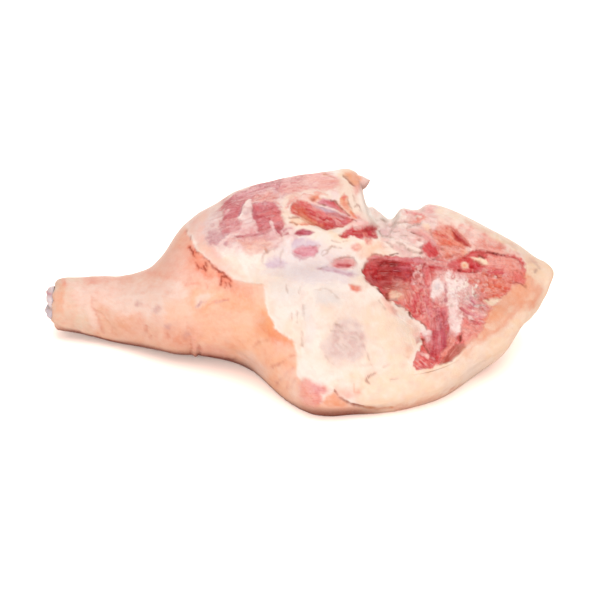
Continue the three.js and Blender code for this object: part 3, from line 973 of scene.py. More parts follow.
# %% Paint the flap
area("flap", IVORY_FAT, "336,190 340,166 352,162 374,176 370,192 364,200 374,216 352,214", 0.95, 3, 2,
    mask="crest")
area("flap top", PEACH_FAT, "338,176 342,166 352,166 358,172 354,184 346,178", 0.95, 2.5, 2, mask="crest")
area("flap blush", PINK_FAT, "352,174 358,171 374,178 368,190 362,196 356,192", 1.1, 2.5, 2, mask="crest")
area("flap rose", SALMON_LEAN, "356,180 363,178 364,184 358,190", 0.4, 2.5, 2, mask="crest")
area("flap glow", ORANGE_FAT, "344,172 352,169 360,173 362,180 356,186 350,180", 0.85, 2.5, 1.5,
    mask="crest")
line("flap fold", SEAM, "344,175 349,179 352,182 355,185", 2.2, 0.75, 1.1, 0.7, -1.2)
line("flap edge", SALMON_LEAN, "356,186 357,192 356,198", 4, 0.4, 2, 1, 0.4)
area("inner flap", ORANGE_FAT, "340,203 341,196 345,193 348,197 349,204 353,211 358,219 352,217 345,210",
    0.95, 1.8, 1, 0.8)
line("inner flap light", ORANGE_LEAN, "344,196 345,203 350,211 355,217", 2.4, 0.55, 1.2, 0.8)
area("inner flap tip", CORAL_LEAN, "341,197 345,193 348,196 345,199", 0.7, 1.6, 1)
line("inner flap side", SEAM, "348,199 349,204 352,208", 1.8, 0.6, 1.1, 0.6, -0.8)
line("flap scratch", GREY_SCRATCH, "354,195 355,201", 1.8, 0.6, 1.1, 0.5)
line("notch mark", SEAM, "355,207 357,204 360,206", 1.8, 0.6, 1.1, 0.8, -0.6)
line("notch scratch", GREY_SCRATCH, "361,210 365,211 368,213", 2, 0.7, 1.1, 0.8, -0.4)
line("lower notch scratch", GREY_SCRATCH, "359,217 362,219 366,220", 1.8, 0.5, 1.1, 0.8, -0.4)
print(covered("fat", "lean"))

# %% [markdown]
# ## The oval cut
# Under the flank the knife opened an oval of red lean. A cream rim of fat stands round it, and
# a bluish tendon lies across it, split from a second slit by a dark seam.

# %% Paint the oval cut
OVAL = (
    "291,208 293,202 298,200 306,201 312,204 320,208 332,212 345,216 353,220 346,224 338,226 328,229 "
    "320,226 310,219 302,216 296,215 292,213"
)
area("oval rim", IVORY_FAT,
    "279,200 290,194 306,190 322,190 334,195 346,208 356,222 330,231 300,229 284,224", 0.9, 3, 2, 0.6)
area("rim blush", PINK_FAT, "285,208 291,198 306,194 312,199 298,201 291,212", 0.8, 2.5, 1.5, 0.3, -30)
line("rim ridge", SALMON_LEAN, "287,207 292,200 302,195 316,192 328,195", 2.4, 0.5, 1.2, 0.8, 0.8)
line("rim ridge light", WHITE_FAT, "289,209 294,202 304,197.5 316,195 326,197", 2.2, 0.7, 1, 0.8, 0.4)
area("rim foot", ORANGE_FAT, "290,222 292,217 302,217 312,219 324,224 326,228 312,226 298,225", 0.75, 2,
    1.2, 0, 12)
area("rim foot light", PEACH_FAT, "289,219 300,218 304,222 296,223", 0.8, 2, 1, 0.4)
line("rim seam", BROWN_SEAM, "291,222 294,222 298,224", 2, 0.65, 1, 0.6, -0.7)
line("rim seam end", ORANGE_LEAN, "302,224 312,224 320,225", 2, 0.6, 1.2, 0.8, -0.6)
line("rim left seam", SEAM, "290,217 294,217 299,217", 1.8, 0.5, 1.1, 0.8, -0.5)
print(covered("fat", "lean"))

# %% Paint the lean and the tendon of the oval cut
area("oval lean", CORAL_LEAN, OVAL, 1.4, 1.6, 1.4, -1.2, 22)
area("oval orange", ORANGE_LEAN, "292,206 297,202 306,206 308,214 300,214 294,213", 0.6, 2.5, 1.5, 0, 25)
area("oval glow", ORANGE_LEAN, "298,208 306,212 316,217 326,224 322,227 310,220 300,215", 0.85, 2.2, 1.5, 0,
    22)
area("oval light", ORANGE_FAT, "300,213 308,216 318,221 314,223 304,218", 0.6, 2, 1.5, 0.2, 22)
area("oval red", RED_LEAN, "297,201 305,202 312,206 320,210 316,212 306,208 299,206", 0.6, 2, 1.5, 0, 22)
area("oval crimson", CRIMSON_LEAN, "307,208 312,209 322,213 330,218 326,221 318,218 310,214", 0.75, 2.2,
    1.5, -0.5, 22)
area("oval foot", RED_LEAN, "324,217 336,219 348,221 340,225 330,227 324,223", 0.6, 2.5, 1.5, 0, 12)
area("oval foot pink", ROSE_LEAN, "332,220 342,220 350,221 342,224 334,225", 0.5, 1.8, 1.2, 0, 5)
area("upper slit", ROSE_LEAN, "317,203 324,198 334,199 340,207 349,216 340,211 328,207", 1.1, 1.6, 1, -0.6,
    24)
area("upper slit red", RED_LEAN, "324,200 334,200 340,207 346,213 337,209 328,205", 0.85, 1.8, 1, -0.3, 25)
area("tendon", LILAC_MEMBRANE,
    "311,203 318,205 326,207 336,211 346,215 350,218 342,216 332,213 322,211 316,208", 0.95, 1.5, 0.9, 1,
    22)
line("tendon light", WHITE_SINEW, "312,203 318,206 326,208", 1.8, 0.7, 0.9, 0.7, 0.4)
area("tendon foot", MAUVE_LEAN, "326,212 336,215 348,218 342,219 332,216", 0.9, 1.5, 0.8, -0.3, 22)
line("tendon shade", PURPLE_LEAN, "326,213 334,216 343,217 350,219", 1.6, 0.6, 1, 0.8, -0.4)
line("dark seam", BROWN_SEAM, "331,199 335,200 338,203 341,207 346,212 350,216", 1.7, 0.7, 0.9, 0.8, -0.6)
line("dark seam end", CLOT, "352,219 354,220 357,221", 2, 0.85, 0.9, 0.6, -1)
line("upper seam", SEAM, "316,202 320,204 325,206", 1.6, 0.6, 0.9, 0.8, -0.5)
area("orange node", ORANGE_FAT, "308,197 312,194 319,195 320,199 314,201 309,200", 0.9, 2, 1.2)
oval("orange node core", BROWN_SEAM, (312.5, 199.3), (2.6, 1.8), 0.65, 1.6, 0.8, -0.8)
area("seam glow", ORANGE_FAT, "349,211 356,213 357,218 353,218", 0.6, 2, 1.2)
area("white node", WHITE_SINEW, "329,192 334,189 339,192 338,198 332,199", 0.95, 2, 1, 0.6)
oval("lower node", DARK_LEAN, (325, 227), (3, 2.2), 0.65, 1.4, 1, -0.6)
line("lower bits", BROWN_LEAN, "331,226 334,228", 2.2, 0.5, 1.1, 0.8, -0.4)
mottle("oval dark fibres", CRIMSON_LEAN, OVAL, 2.4, 0.25, 0.4, -0.3, 22)
mottle("oval light fibres", SALMON_LEAN, OVAL, 2.4, 0.25, 0.45, 0.2, 22)
print(covered("lean", "sinew"))

# %% [markdown]
# ## Valley membranes
# In the valley between the muscles a bluish membrane lies over the fat. Small lenses of lean and
# glands break through it, each with a darker core, and the flank cut opens red at its right end.

# %% Paint the valley
area("valley membrane", BLUE_MEMBRANE,
    "260,264 276,250 296,236 330,240 352,248 358,276 344,284 310,282 284,278 266,272", 0.65, 6, 4, 0, 5)
area("valley cream", CREAM_FAT, "316,232 336,234 352,242 358,254 340,250 322,246", 0.7, 4, 3)
area("lilac left", LILAC_MEMBRANE, "263,263 270,258 279,258 288,264 284,268 272,268", 1, 3, 2, -0.3)
area("lilac middle", LILAC_MEMBRANE, "293,239 303,236 312,239 318,244 306,248 294,247", 0.9, 3, 2, -0.3)
area("middle lens", ROSE_LEAN, "293,250 300,246 310,245 318,247 318,252 312,257 302,258 295,255", 0.95, 2.2,
    1.2, 1, 0)
area("middle lens shade", MAUVE_LEAN, "292,252 298,254 306,259 300,260 294,256", 0.6, 2, 1, 0, 20)
line("middle lens tip", PURPLE_LEAN, "313,247 317,245 320,246", 2, 0.5, 1.2, 0.8)
area("upper lens", PURPLE_LEAN, "294,234 297,230 304,228.5 310,230 315,232 310,235 300,235.5", 1.2, 1.2,
    0.5, -0.9, 0)
area("upper lens core", CRIMSON_LEAN, "299,232 304,230 308,232 304,234", 0.35, 1.4, 0.6)
area("right lens", PALE_LEAN, "330,262 338,257 348,255 354,258 357,263 352,267 342,268 334,266", 0.9, 2,
    1.2, 0.8, 5)
area("right lens blush", PINK_LEAN, "332,264 340,259 350,259 354,264 346,268 336,267", 0.5, 2.5, 1, 0, 5)
area("right lens core", RED_LEAN, "334,265 340,262.5 350,263.5 353,265 346,267 338,267", 0.85, 1.4, 0.8,
    -0.7, 5)
line("right lens slit", DEEP_LEAN, "337,264 344,264.5 351,265", 1.4, 0.45, 0.9, 0.6, -0.6)
area("lilac right", LILAC_MEMBRANE, "316,268 326,265 336,268 350,271 358,276 348,275 334,273 322,271", 0.8,
    2.2, 1.5, 0.3)
line("lilac right foot", MAUVE_LEAN, "318,269 328,270 340,272 352,275", 1.8, 0.4, 1.3, 1, -0.4)
VALLEY_SCRATCHES = (
    "321,254 323,251 328,249 331,247", "331,246 336,247 341,248", "323,255 327,253 328,251",
    "332,240 340,242", "344,241 349,240", "338,258 346,256 354,257", "286,284 288,292", "300,286 299,292",
    "320,268 326,266",
)
for route in VALLEY_SCRATCHES:
    line("valley scratch", GREY_SCRATCH, route, 1.5, 0.55, 1.1, 1, -0.4)
line("white ridge", WHITE_SINEW, "287,252 290,244 294,236", 3.4, 0.7, 1.8, 1.5, 0.5)
line("left shade", GREY_SCRATCH, "281,262 280,254 283,250", 1.8, 0.4, 1.3, 1, -0.5)
print(covered("lean", "sinew"))

# %% Paint the end of the flank cut
area("flank fat", PEACH_FAT, "322,229 340,234 350,238 364,242 380,246 368,256 356,240 336,240", 0.75, 3, 2)
FLANK_CUT = (
    "340,236 346,229 352,227 358,229 364,226 372,223 378,226 377,236 370,237 362,239 352,235 346,238"
)
area("flank cut", RED_LEAN, FLANK_CUT, 1.4, 1.3, 1.6, -1.2, -5)
area("flank cut left", RED_LEAN, "344,233 347,229 352,228 353,233 348,236", 0.7, 1.8, 1.2, -0.3, 5)
area("flank cut core", CRIMSON_LEAN, "363,230 370,229 376,229 375,235 366,236", 0.8, 1.6, 1, -0.5, -5)
area("flank cut top", PURPLE_LEAN, "354,227 362,225 370,226 362,228", 0.5, 1.6, 1, 0, 5)
line("flank slit", DEEP_LEAN, "365,227.5 370,228.5 376,228", 1.5, 0.6, 0.9, 0.7, -0.9)
line("flank bits", SEAM, "339,234 342,235 345,237", 2, 0.6, 1.1, 0.8, -0.5)
line("flank right edge", BROWN_LEAN, "375,222 378,226", 2.4, 0.6, 1.1, 0.8, -0.6)
line("flank lower edge", BROWN_LEAN, "374,232 377,236", 2.2, 0.6, 1.1, 0.8, -0.6)
area("flank tongue", SALMON_LEAN, "363,238 372,237 372,243 367,245", 0.9, 2, 1)
area("flank white", WHITE_SINEW, "357,220 366,221 373,220 367,224 358,223", 0.95, 1.5, 1, 0.6)
oval("pink gland", SALMON_LEAN, (356, 247.5), (5, 3.8), 0.7, 2, 1, 0.3)
mottle("flank fibres", CRIMSON_LEAN, FLANK_CUT, 2.2, 0.2, 0.5, -0.4, 0)
mottle("flank lights", SALMON_LEAN, FLANK_CUT, 2.4, 0.25, 0.5, 0.2, 0)
print(covered("lean", "sinew"))

# %% [markdown]
# ## The rump
# Right of the notch the fat is torn and lumpy, then it rises to a rounded hump that is rosy with
# thin lean, with one long crack where the skin of fat has split.

# %% Paint the rump
TORN_FAT = trace("380,212 394,204 404,204 436,204 440,250 424,258 400,257 381,250 383,236 379,224")
HUMP = "436,206 470,216 500,234 530,252 540,262 520,262 500,252 476,250 466,236 446,222"
area("rump ground", PINK_FAT,
    "380,216 394,203 430,196 500,222 550,255 542,270 500,262 470,252 430,256 400,255 381,248 382,232", 0.8,
    3, 3, mask="crest")
area("far edge cream", PEACH_FAT, "432,200 452,208 486,224 520,242 545,258 538,264 500,242 470,226 440,214",
    0.9, 3, 3, mask="crest")
area("hump cream", IVORY_FAT, "432,212 452,213 462,222 452,222 436,222", 0.7, 4, 3)
area("hump blush", SALMON_LEAN,
    "404,212 424,208 440,220 464,224 482,230 500,242 508,250 492,250 476,249 468,238 440,226", 0.5, 4, 3)
area("right end", PEACH_FAT, "522,258 545,260 551,270 540,284 528,272", 0.85, 4, 3)
mottle("hump mottle", CREAM_FAT, HUMP, 6, 0.06, 0.55, 0.3)
mottle("hump rose", SALMON_LEAN, HUMP, 4, 0.22, 0.25, -0.2, 30)
mottle("hump grey", GREY_SCRATCH, HUMP, 4, 0.36, 0.3, -0.3, 35)
print(covered("fat", "lean"))

# %% Paint the torn fat by the notch
area("torn fat", PINK_MEMBRANE, TORN_FAT, 0.6, 3, 3, 0.3, mask="crest")
area("torn foot", PEACH_FAT, "376,242 388,244 400,251 396,256 376,253", 0.7, 3, 2)
area("torn pink", MAUVE_LEAN, "380,229 386,229 388,237 382,237", 0.4, 2.2, 1.5, -0.3)
area("torn rose", PINK_FAT, "395,212 420,208 428,214 410,222 395,222", 0.9, 2, 2, mask="crest")
area("torn salmon", SALMON_LEAN, "406,210 424,212 430,218 414,222 408,218", 0.25, 2.5, 2, 0, 15)
area("torn grey", PINK_MEMBRANE, "372,208 400,208 412,226 414,236 396,238 384,234", 0.2, 3, 2, mask="crest")
area("notch floor", WHITE_FAT, "364,200 384,206 400,204 402,218 386,224 372,218", 0.95, 3, 2, mask="crest")
area("notch wall", WHITE_FAT, "360,190 366,195 370,205 380,213 392,221 386,227 373,222 364,212 358,200",
    0.9, 3, 2, mask="crest")
mottle("notch streaks", PINK_FAT, "362,198 384,206 404,204 404,226 370,222", 3.4, 0.12, 0.45, -0.3, 60,
    mask="crest")
mottle("torn lights", WHITE_FAT, TORN_FAT, 4, 0.08, 0.55, 0.6, 18, mask="crest")
mottle("torn shades", BRUISE, TORN_FAT, 3, 0.25, 0.2, -0.6, 18, mask="crest")
mottle("torn rosy bits", PALE_LEAN, TORN_FAT, 3.4, 0.24, 0.35, -0.2, 18, mask="crest")
TORN_LINES = (
    "378,219 384,219 388,221", "390,226 394,223 402,222", "380,231 383,237 392,237",
    "396,242 400,244 405,246", "413,230 417,233 420,235", "408,248 414,250 420,253", "388,242 394,246",
    "408,227 412,225 420,222", "392,231 400,230", "400,236 408,234", "404,222 412,222",
)
for route in TORN_LINES:
    line("torn line", GREY_SCRATCH, route, 1.8, 0.65, 1.1, 1.2, -1, mask="crest")
line("red streak", CORAL_LEAN, "407,211 414,212 423,215", 2.4, 0.75, 1.1, 0.8)
line("lower red streak", SALMON_LEAN, "410,222 418,220 425,217", 3, 0.9, 1.2, 1)
oval("edge spot", CORAL_LEAN, (430, 208), (6, 4), 0.4, 3, 1.5, mask="crest")
print(covered("fat", "lean"))

# %% Paint the hollow and the folds of the rump
area("cream fold", PEACH_FAT, "422,224 429,223 432,230 428,232", 0.9, 2, 1, 0.5)
area("split fold", PINK_LEAN, "414,229 421,231 428,234 438,241 444,249 440,250 432,243 424,237", 0.8, 1.8,
    1.5, -0.3, 38)
line("split fold light", PINK_FAT, "420,230 430,235 438,241 446,249", 2.2, 0.85, 1.1, 0.8, 0.6)
line("split fold dark", SEAM, "412,230 417,232 422,235", 1.8, 0.6, 1.1, 1, -0.6)
area("orange hollow", ORANGE_LEAN,
    "431,232 440,226 452,224 458,228 466,238 470,245 462,250 450,249 440,243", 1.1, 3.6, 2.6, -0.6, 32)
area("orange light", SALMON_LEAN, "440,228 450,228 456,238 448,243 440,238", 0.3, 3, 2, 0, 32)
line("hollow rim", SEAM, "431,229 433,235", 1.8, 0.5, 1.1, 0.8, -0.5)
HOLLOW = "434,230 452,226 468,245 446,248"
mottle("hollow fibres", RED_LEAN, HOLLOW, 2.2, 0.16, 0.4, -0.3, 35)
mottle("hollow lights", PEACH_FAT, HOLLOW, 3.2, 0.24, 0.2, 0.2, 35)
area("hollow side", DARK_LEAN, "453,228 458,230 465,239 471,247 464,245 456,238", 1, 2.2, 1.2, -0.9, 45)
MIXED = "422,252 442,247 470,249 470,258 448,264 424,262"
area("mixed flesh", PALE_LEAN, MIXED, 0.9, 2.5, 2, 0, 20)
mottle("mixed red", RED_LEAN, MIXED, 3.2, 0.22, 0.65, -0.5, 15)
mottle("mixed fat", IVORY_FAT, MIXED, 3.4, 0.18, 0.5, 0.5, 25)
mottle("mixed dark", BROWN_SEAM, MIXED, 2.4, 0.44, 0.35, -0.5)
area("red under fold", RED_LEAN, "424,245 430,240 438,246 440,254 436,258 428,256 422,250", 0.9, 2.2, 1.6,
    -0.6, 40)
area("yellow fat bit", PEACH_FAT, "461,250 467,249 469,254 462,257", 0.85, 2, 1.2, 0.4)
DARK_DOTS = (421.5, 253), (422, 247.5), (420, 239.5), (447, 256), (443, 249)
for spot in DARK_DOTS:
    oval("dark dot", BROWN_SEAM, spot, (1.6, 1.4), 0.65, 1.1, 0.8, -0.6)
line("red dot", CLOT, "432,259 436,258.5 440,259.5", 2, 0.8, 1, 0.6, -0.8)
area("right strip", SALMON_LEAN, "474,249 484,244 500,246 508,252 500,253 486,250", 0.7, 2.5, 2, 0.3, 12)
line("crack shade", GREY_SCRATCH, "530,258 536,263 541,269", 1.8, 0.5, 1.2, 1, -0.5)
oval("tip mark", GREY_SCRATCH, (536.5, 270.5), (1.6, 2), 0.65, 1.2, 0.8, -0.5)
print(covered("fat", "lean"))

# %% [markdown]
# ## The cut face of the rump
# The saddle was cut off here, so red lean lies open from the deep hip pocket to the butt, with
# white sinew, flecks of fat and torn edges. The order is from the wide red ground to small marks.

# %% Paint the ground of the cut and the pocket
CUT_FACE = trace(
    "363.5,272 365.5,269 364,265 366.5,262 366,258.5 370,255.5 374,254.5 398,257 420,258 436,258 452,256 "
    "468,254 476,250 500,253 520,259 527,268 526,284 513,283 506,294 500,300 491,312 485,323 476,330 "
    "467,340 463,346 452,358 441,364 432,367 417,370 414,364 417,353 424,344 421,336 428,329 425,323 "
    "415,319 409,311 399,305 388,298 381,291 377,286 372,284 367,280 365,276"
)
POCKET = (
    "364,271 367,263 376,260 410,260 424,262 428,268 424,274 414,280 405,286 392,288 386,291 380,290 "
    "372,284 365,278"
)
area("cut ground", CORAL_LEAN, CUT_FACE, 1.7, 1.3, 1.8, -1.2, 60)
area("pocket", RED_LEAN, POCKET, 1, 2.5, 1.5, -0.8, 3)
area("pocket warm", DARK_LEAN, "378,267 400,267 404,280 384,286", 0.75, 4, 2, -0.3, 3)
area("pocket deep", DEEP_LEAN, "376,262 390,260.5 404,261 404,265 390,267 379,267", 0.95, 2, 1.2, -0.8, 2)
area("deep right", CRIMSON_LEAN, "398,261 412,261 414,265 398,266", 0.7, 2.5, 1.2, -0.6, 2)
area("pocket left", CRIMSON_LEAN, "367,268 374,266 378,270 379,280 371,281 367,276", 0.85, 2.5, 1.5, 0.2,
    60)
area("left light", RED_LEAN, "370,265 378,266 378,270 371,271", 0.7, 2, 1.2, 0.2, 20)
area("pocket right", PURPLE_LEAN, "392,267 412,264 417,274 407,283 394,281", 0.6, 4, 2, 0.3, 5)
area("pocket foot", SALMON_LEAN, "384,286 398,282 410,281 408,288 396,290 388,290", 0.7, 3, 2, 0.3, 5)
area("pocket lip", PINK_LEAN,
    "365,263 369,256 378,255 388,257 400,257 420,257 424,262 400,261 386,260 374,262", 0.9, 1.8, 1, 0.6, 3)
line("lip shade", BROWN_LEAN, "366,266 370,261 376,259.5 388,258", 2.2, 0.5, 1.2, 0.9, -0.4)
line("lip edge", BROWN_LEAN, "372,254 380,254 388,257", 1.8, 0.6, 1, 0.8, -0.3)
line("lip edge dark", BROWN_SEAM, "390,255 394,254 398,254", 1.6, 0.7, 0.9, 0.6, -0.3)
line("lip edge left", BROWN_SEAM, "371,255.5 374,254 378,254", 1.5, 0.5, 0.9, 0.6, -0.3)
line("pocket left edge", SEAM, "363,272 364,267 367,263", 1.8, 0.7, 1, 0.8, -0.6)
line("lower edge", BROWN_SEAM, "371,282 375,284 379,289 384,292", 2.2, 0.75, 1.1, 0.9, -0.6)
FAT_BITES = (366.5, 261), (363.5, 266), (364.5, 275.5), (369.5, 281.5), (376, 286.5)
for spot in FAT_BITES:
    oval("bite of fat", CREAM_FAT, spot, (1.8, 1.2), 0.85, 1.1, 0.8, 0.5)
mottle("dark streaks", DARK_LEAN, POCKET, 3, 0.2, 0.35, -0.2, 3)
mottle("light streaks", CORAL_LEAN, POCKET, 2.6, 0.24, 0.35, 0.2, 3)
print(covered("lean", "sinew"))

# %% [markdown]
# ## Marbling in the middle of the cut
# Between the pocket and the wedge the lean is broken by a web of fat, a pale island and a band of
# white sinew that runs down from the crest.

# %% Paint the middle of the cut
MIDDLE = "400,286 412,284 424,284 440,276 446,296 442,312 434,320 424,321 412,317 404,308"
area("upper middle", PINK_LEAN, "412,258 426,259 428,266 416,267", 0.6, 2.5, 1.5, 0.2, 5)
area("upper bar", PALE_LEAN, "424,258 448,256 461,257 457,264 440,267 428,266", 0.85, 2.2, 2, 0.2, 5)
mottle("upper bar red", RED_LEAN, "424,258 461,256 457,265 428,267", 2.8, 0.2, 0.6, -0.4, 10)
area("web of fat", PALE_LEAN, "415,267 424,264 425,273 422,283 416,284 413,276", 0.8, 2, 1.8, 0.5)
mottle("web whites", PINK_MEMBRANE, "412,264 425,263 424,284 412,286", 3.2, 0.1, 0.6, 0.5)
mottle("web lines", DARK_LEAN, "411,264 427,262 426,290 408,290", 3, 0.3, 0.55, -0.5)
line("web edge", DARK_LEAN, "426,263 424,268 424,276 421,283", 1.7, 0.6, 1.1, 0.9, -0.6)
area("beside the web", PINK_LEAN, "425,266 432,268 432,286 425,286", 0.6, 3, 2, 0, 85)
area("crimson upper", CRIMSON_LEAN, "430,265 444,265 448,270 442,275 434,274", 0.75, 2.5, 1.8, -0.3, 8)
area("upper foot", BROWN_LEAN, "432,272 441,273 440,278 433,279", 0.35, 2.5, 1.5, 0, 8)
area("salmon ground", SALMON_LEAN, "396,288 410,288 412,300 404,306 398,298", 0.6, 4, 2, 0.3, 70)
area("fat island", TAN_FAT, "388,290 398,287 406,289 406,297 398,301 390,296", 0.6, 2.5, 2, 0.8)
area("fat island light", PEACH_FAT, "391,291 398,289 401,294 397,299 392,296", 0.9, 2, 1.5, 0.5)
area("red band", RED_LEAN, "411,292 420,292 421,312 415,317 411,306", 0.75, 3, 1.8, -0.3, 75)
area("pink middle", PINK_LEAN, "421,286 432,284 434,300 428,316 422,312", 0.6, 3, 2, 0.2, 80)
area("rose heart", PINK_LEAN, "431,300 438,296 443,300 442,306 434,307", 0.45, 2.5, 1.8, -0.2, 80)
area("lower middle", PINK_LEAN, "424,309 438,308 436,319 426,320", 0.5, 3, 2, 0.1, 80)
mottle("middle specks", CRIMSON_LEAN, MIDDLE, 3, 0.3, 0.5, -0.4)
mottle("middle lights", SALMON_LEAN, MIDDLE, 4, 0.2, 0.55, 0.3)
print(covered("lean", "sinew"))

# %% Paint the white sinew of the cut
area("white glow", PALE_LEAN,
    "430,278 446,268 458,268 470,276 484,284 482,298 468,304 462,332 452,332 446,306 434,300", 1.1, 6, 2.5,
    0.4)
area("white blob", WHITE_SINEW,
    "431,284 434,280 440,278.5 445,282 446,289 441,294 436,296 434,300 431,297 432,290", 1.1, 2, 1.2, 1)
oval("blob centre", GREY_SINEW, (438.5, 285.5), (2.6, 3), 0.6, 1.6, 0.8, -0.6)
area("white band top", WHITE_SINEW,
    "447,272 452,267 456,274 466,278 468,290 460,292 457,302 450,298 450,286", 1.15, 3, 2.2, 0.7)
area("white band foot", WHITE_SINEW, "450,298 458,300 461,314 461,331 456,334 451,322 447,308", 1.2, 2.4, 2,
    0.7)
area("band pink", PALE_LEAN, "466,280 478,280 480,294 470,298 466,290", 0.6, 2.5, 2, 0.3, 50)
line("purple streak", PURPLE_LEAN, "446,283 447,291 446,299", 2.8, 0.6, 1.3, 0.9, -0.6)
line("band streak", RED_LEAN, "456,268 454,274 453,278", 3, 0.7, 1.4, 1, -0.5)
mottle("band shades", PALE_LEAN, "446,268 470,276 482,288 470,300 460,332 448,320", 8, 0.15, 0.3, -0.4)
mottle("band lights", WHITE_FAT, "446,270 478,280 480,294 462,300 460,330 450,320", 4, 0.2, 0.8, 0.4)
BAND_PITS = (451, 305), (459.5, 306), (469, 293), (476, 294)
for spot in BAND_PITS:
    oval("band pit", GREY_SCRATCH, spot, (1.6, 2), 0.6, 1.3, 0.8, -0.6)
print(covered("lean", "sinew"))

# %% [markdown]
# ## The right of the cut
# To the right the lean is thinner and dries to orange. A wedge of fat, a dark crack and a small
# nodule lie near the crest, and stripes of rose and white run down to the rim.

# %% Paint the right of the cut
RIGHT = "466,270 486,268 512,270 514,282 504,294 482,294 468,282"
area("nodule red", RED_LEAN, "448,262 460,258 470,256 484,262 486,269 478,272 462,271 452,268", 0.75, 2,
    1.5, -0.3, 10)
area("crimson slit", CRIMSON_LEAN, "470,263 480,263 480,268 475,273 470,270", 0.85, 1.8, 1.2, -0.5, 10)
line("crimson slit foot", DEEP_LEAN, "471,271 475,271 478,270", 2.2, 0.6, 1.2, 1, -0.6)
area("upper red", RED_LEAN, "467,257 474,252 484,249.5 494,251 490,257 478,257", 0.7, 2, 1.2, -0.4, -12)
area("upper red shade", BROWN_LEAN, "474,253 484,250 488,253 478,257", 0.4, 2, 1.2)
area("fat wedge", PEACH_FAT, "471,256.5 480,257 486,260 491,264 484,265 476,260", 1.2, 1.4, 0.9, 0.9)
line("wedge foot", BROWN_LEAN, "474,260 480,262 486,266", 1.8, 0.5, 1.1, 0.8, -0.6)
line("wedge upper bits", BROWN_SEAM, "480,256 484,258", 1.9, 0.6, 1, 0.8, -0.5)
area("salmon flat", SALMON_LEAN, "487,253 500,255 516,258 522,266 516,270 500,268 488,266", 0.95, 2.5, 1.5,
    0.4, 6)
area("orange ground", SALMON_LEAN,
    "476,278 486,270 512,268 526,272 524,282 512,286 503,296 490,298 481,292", 0.75, 3, 2, 0.2, 15)
area("orange heart", ORANGE_LEAN, "486,280 502,280 508,287 502,295 489,296", 0.8, 3, 2, 0, 15)
area("crimson bar", RED_LEAN, "487,270 498,269 510,272 511,276 500,276 489,276", 0.95, 1.8, 1.2, -0.6, 4)
line("crimson bar slit", DEEP_LEAN, "490,274.5 496,275.5 505,275", 1.8, 0.45, 1.1, 0.8, -0.6)
area("right red", CORAL_LEAN, "514,270 519,269 525,277 526,283 520,282 514,282", 0.95, 1.8, 1, -0.3, 60)
line("right red edge", BROWN_LEAN, "516,269 520,271 523,274 525,278", 1.9, 0.65, 1, 0.7, -0.7)
line("lower right edge", SEAM, "512,281.5 519,282 523,284 526,286.5", 2.1, 0.75, 1.1, 0.7, -0.7)
print(covered("lean", "fat"))

# %% Paint the nodule, the crack and the curls
oval("nodule", PEACH_FAT, (465, 265), (3.4, 3.2), 0.8, 1.6, 1.4, 0.9)
oval("nodule core", ORANGE_FAT, (464.5, 265), (1.8, 1.5), 0.6, 1.1, 0.6, -0.4)
oval("clot", CLOT, (460.5, 269.3), (2, 1.5), 0.9, 1, 0.5, -0.9)
line("crack", DEEP_LEAN, "485,252.5 488,251.5 497,253 506,254.5", 1.7, 0.8, 0.9, 0.6, -0.7)
line("crack end", RED_LEAN, "506,254.5 514,256 519,260 526,264", 2, 0.6, 1.2, 0.8, -0.9)
line("crack start", RED_LEAN, "466,257 473,252 484,250", 1.8, 0.6, 1.2, 0.8, -0.7)
mottle("right curls", PINK_FAT, RIGHT, 4.4, 0.16, 0.65, 0.6)
mottle("right shades", RED_LEAN, RIGHT, 5, 0.28, 0.4, -0.4)
mottle("right dark bits", DARK_LEAN, RIGHT, 3.4, 0.44, 0.45, -0.4)
mottle("right orange bits", ORANGE_LEAN, RIGHT, 4, 0.25, 0.6, 0.2)
mottle("salmon seams", PINK_FAT, "488,255 518,260 514,270 490,266", 2.6, 0.16, 0.4, 0.3, 8)
area("cream bits", PEACH_FAT, "484,298 494,296 503,296 501,300 493,307 489,304", 0.95, 1.8, 1.4, 0.6)
line("cream bit marks", SEAM, "480,298 483,299", 2, 0.6, 1.1, 0.6, -0.5)
line("second bit mark", SEAM, "485,296 489,298", 2.4, 0.6, 1.1, 0.6, -0.5)
print(covered("lean", "fat"))

# %% Paint the stripes of the cut
STRIPE_ZONE = "458,302 470,297 482,300 491,308 486,316 484,322 470,321 460,312"
area("stripe ground", PALE_LEAN, STRIPE_ZONE, 0.9, 2.5, 1.8, 0.2, 30)
area("stripe rose", SALMON_LEAN, "462,304 474,303 487,311 485,319 478,321 464,314", 0.45, 3, 2, 0, 28)
STRIPES = {
    "stripe by the band": (ROSE_LEAN, "470,296 474,300 476,303", 3.0),
    "red stripe end": (RED_LEAN, "482,306 486,308 489,310", 2.8),
    "stripe spot": (PINK_LEAN, "471,305 474,306", 3.8),
    "long dark stripe": (BROWN_LEAN, "464,314.5 469,317 473,320", 2.0),
    "long stripe end": (RED_LEAN, "475,321 480,323.5 484,323", 3.0),
    "violet stripe": (ROSE_LEAN, "472,313 478,315 484,317", 3.2),
    "rose stripe": (CORAL_LEAN, "477,318.5 484,320", 3.0),
    "thin stripe": (BROWN_LEAN, "476,303 480,306 483,309", 1.7),
    "grey stripe": (GREY_SCRATCH, "478,302.5 486,303.5", 2.0),
    "left stripe": (PINK_LEAN, "461,308 466,311 470,313", 2.8),
}
for patch, (tone, route, width) in STRIPES.items():
    line(patch, tone, route, width, 0.75, 1.1, 0.8, -0.5)
mottle("stripe lights", WHITE_SINEW, STRIPE_ZONE, 2.6, 0.24, 0.55, 0.3, 28)
mottle("stripe shades", PINK_LEAN, STRIPE_ZONE, 2.4, 0.26, 0.5, -0.3, 28)
area("rose foot", SALMON_LEAN, "462,322 478,324 484,328 472,334 463,333", 0.8, 2.5, 1.5, 0, 25)
print(covered("lean", "sinew"))

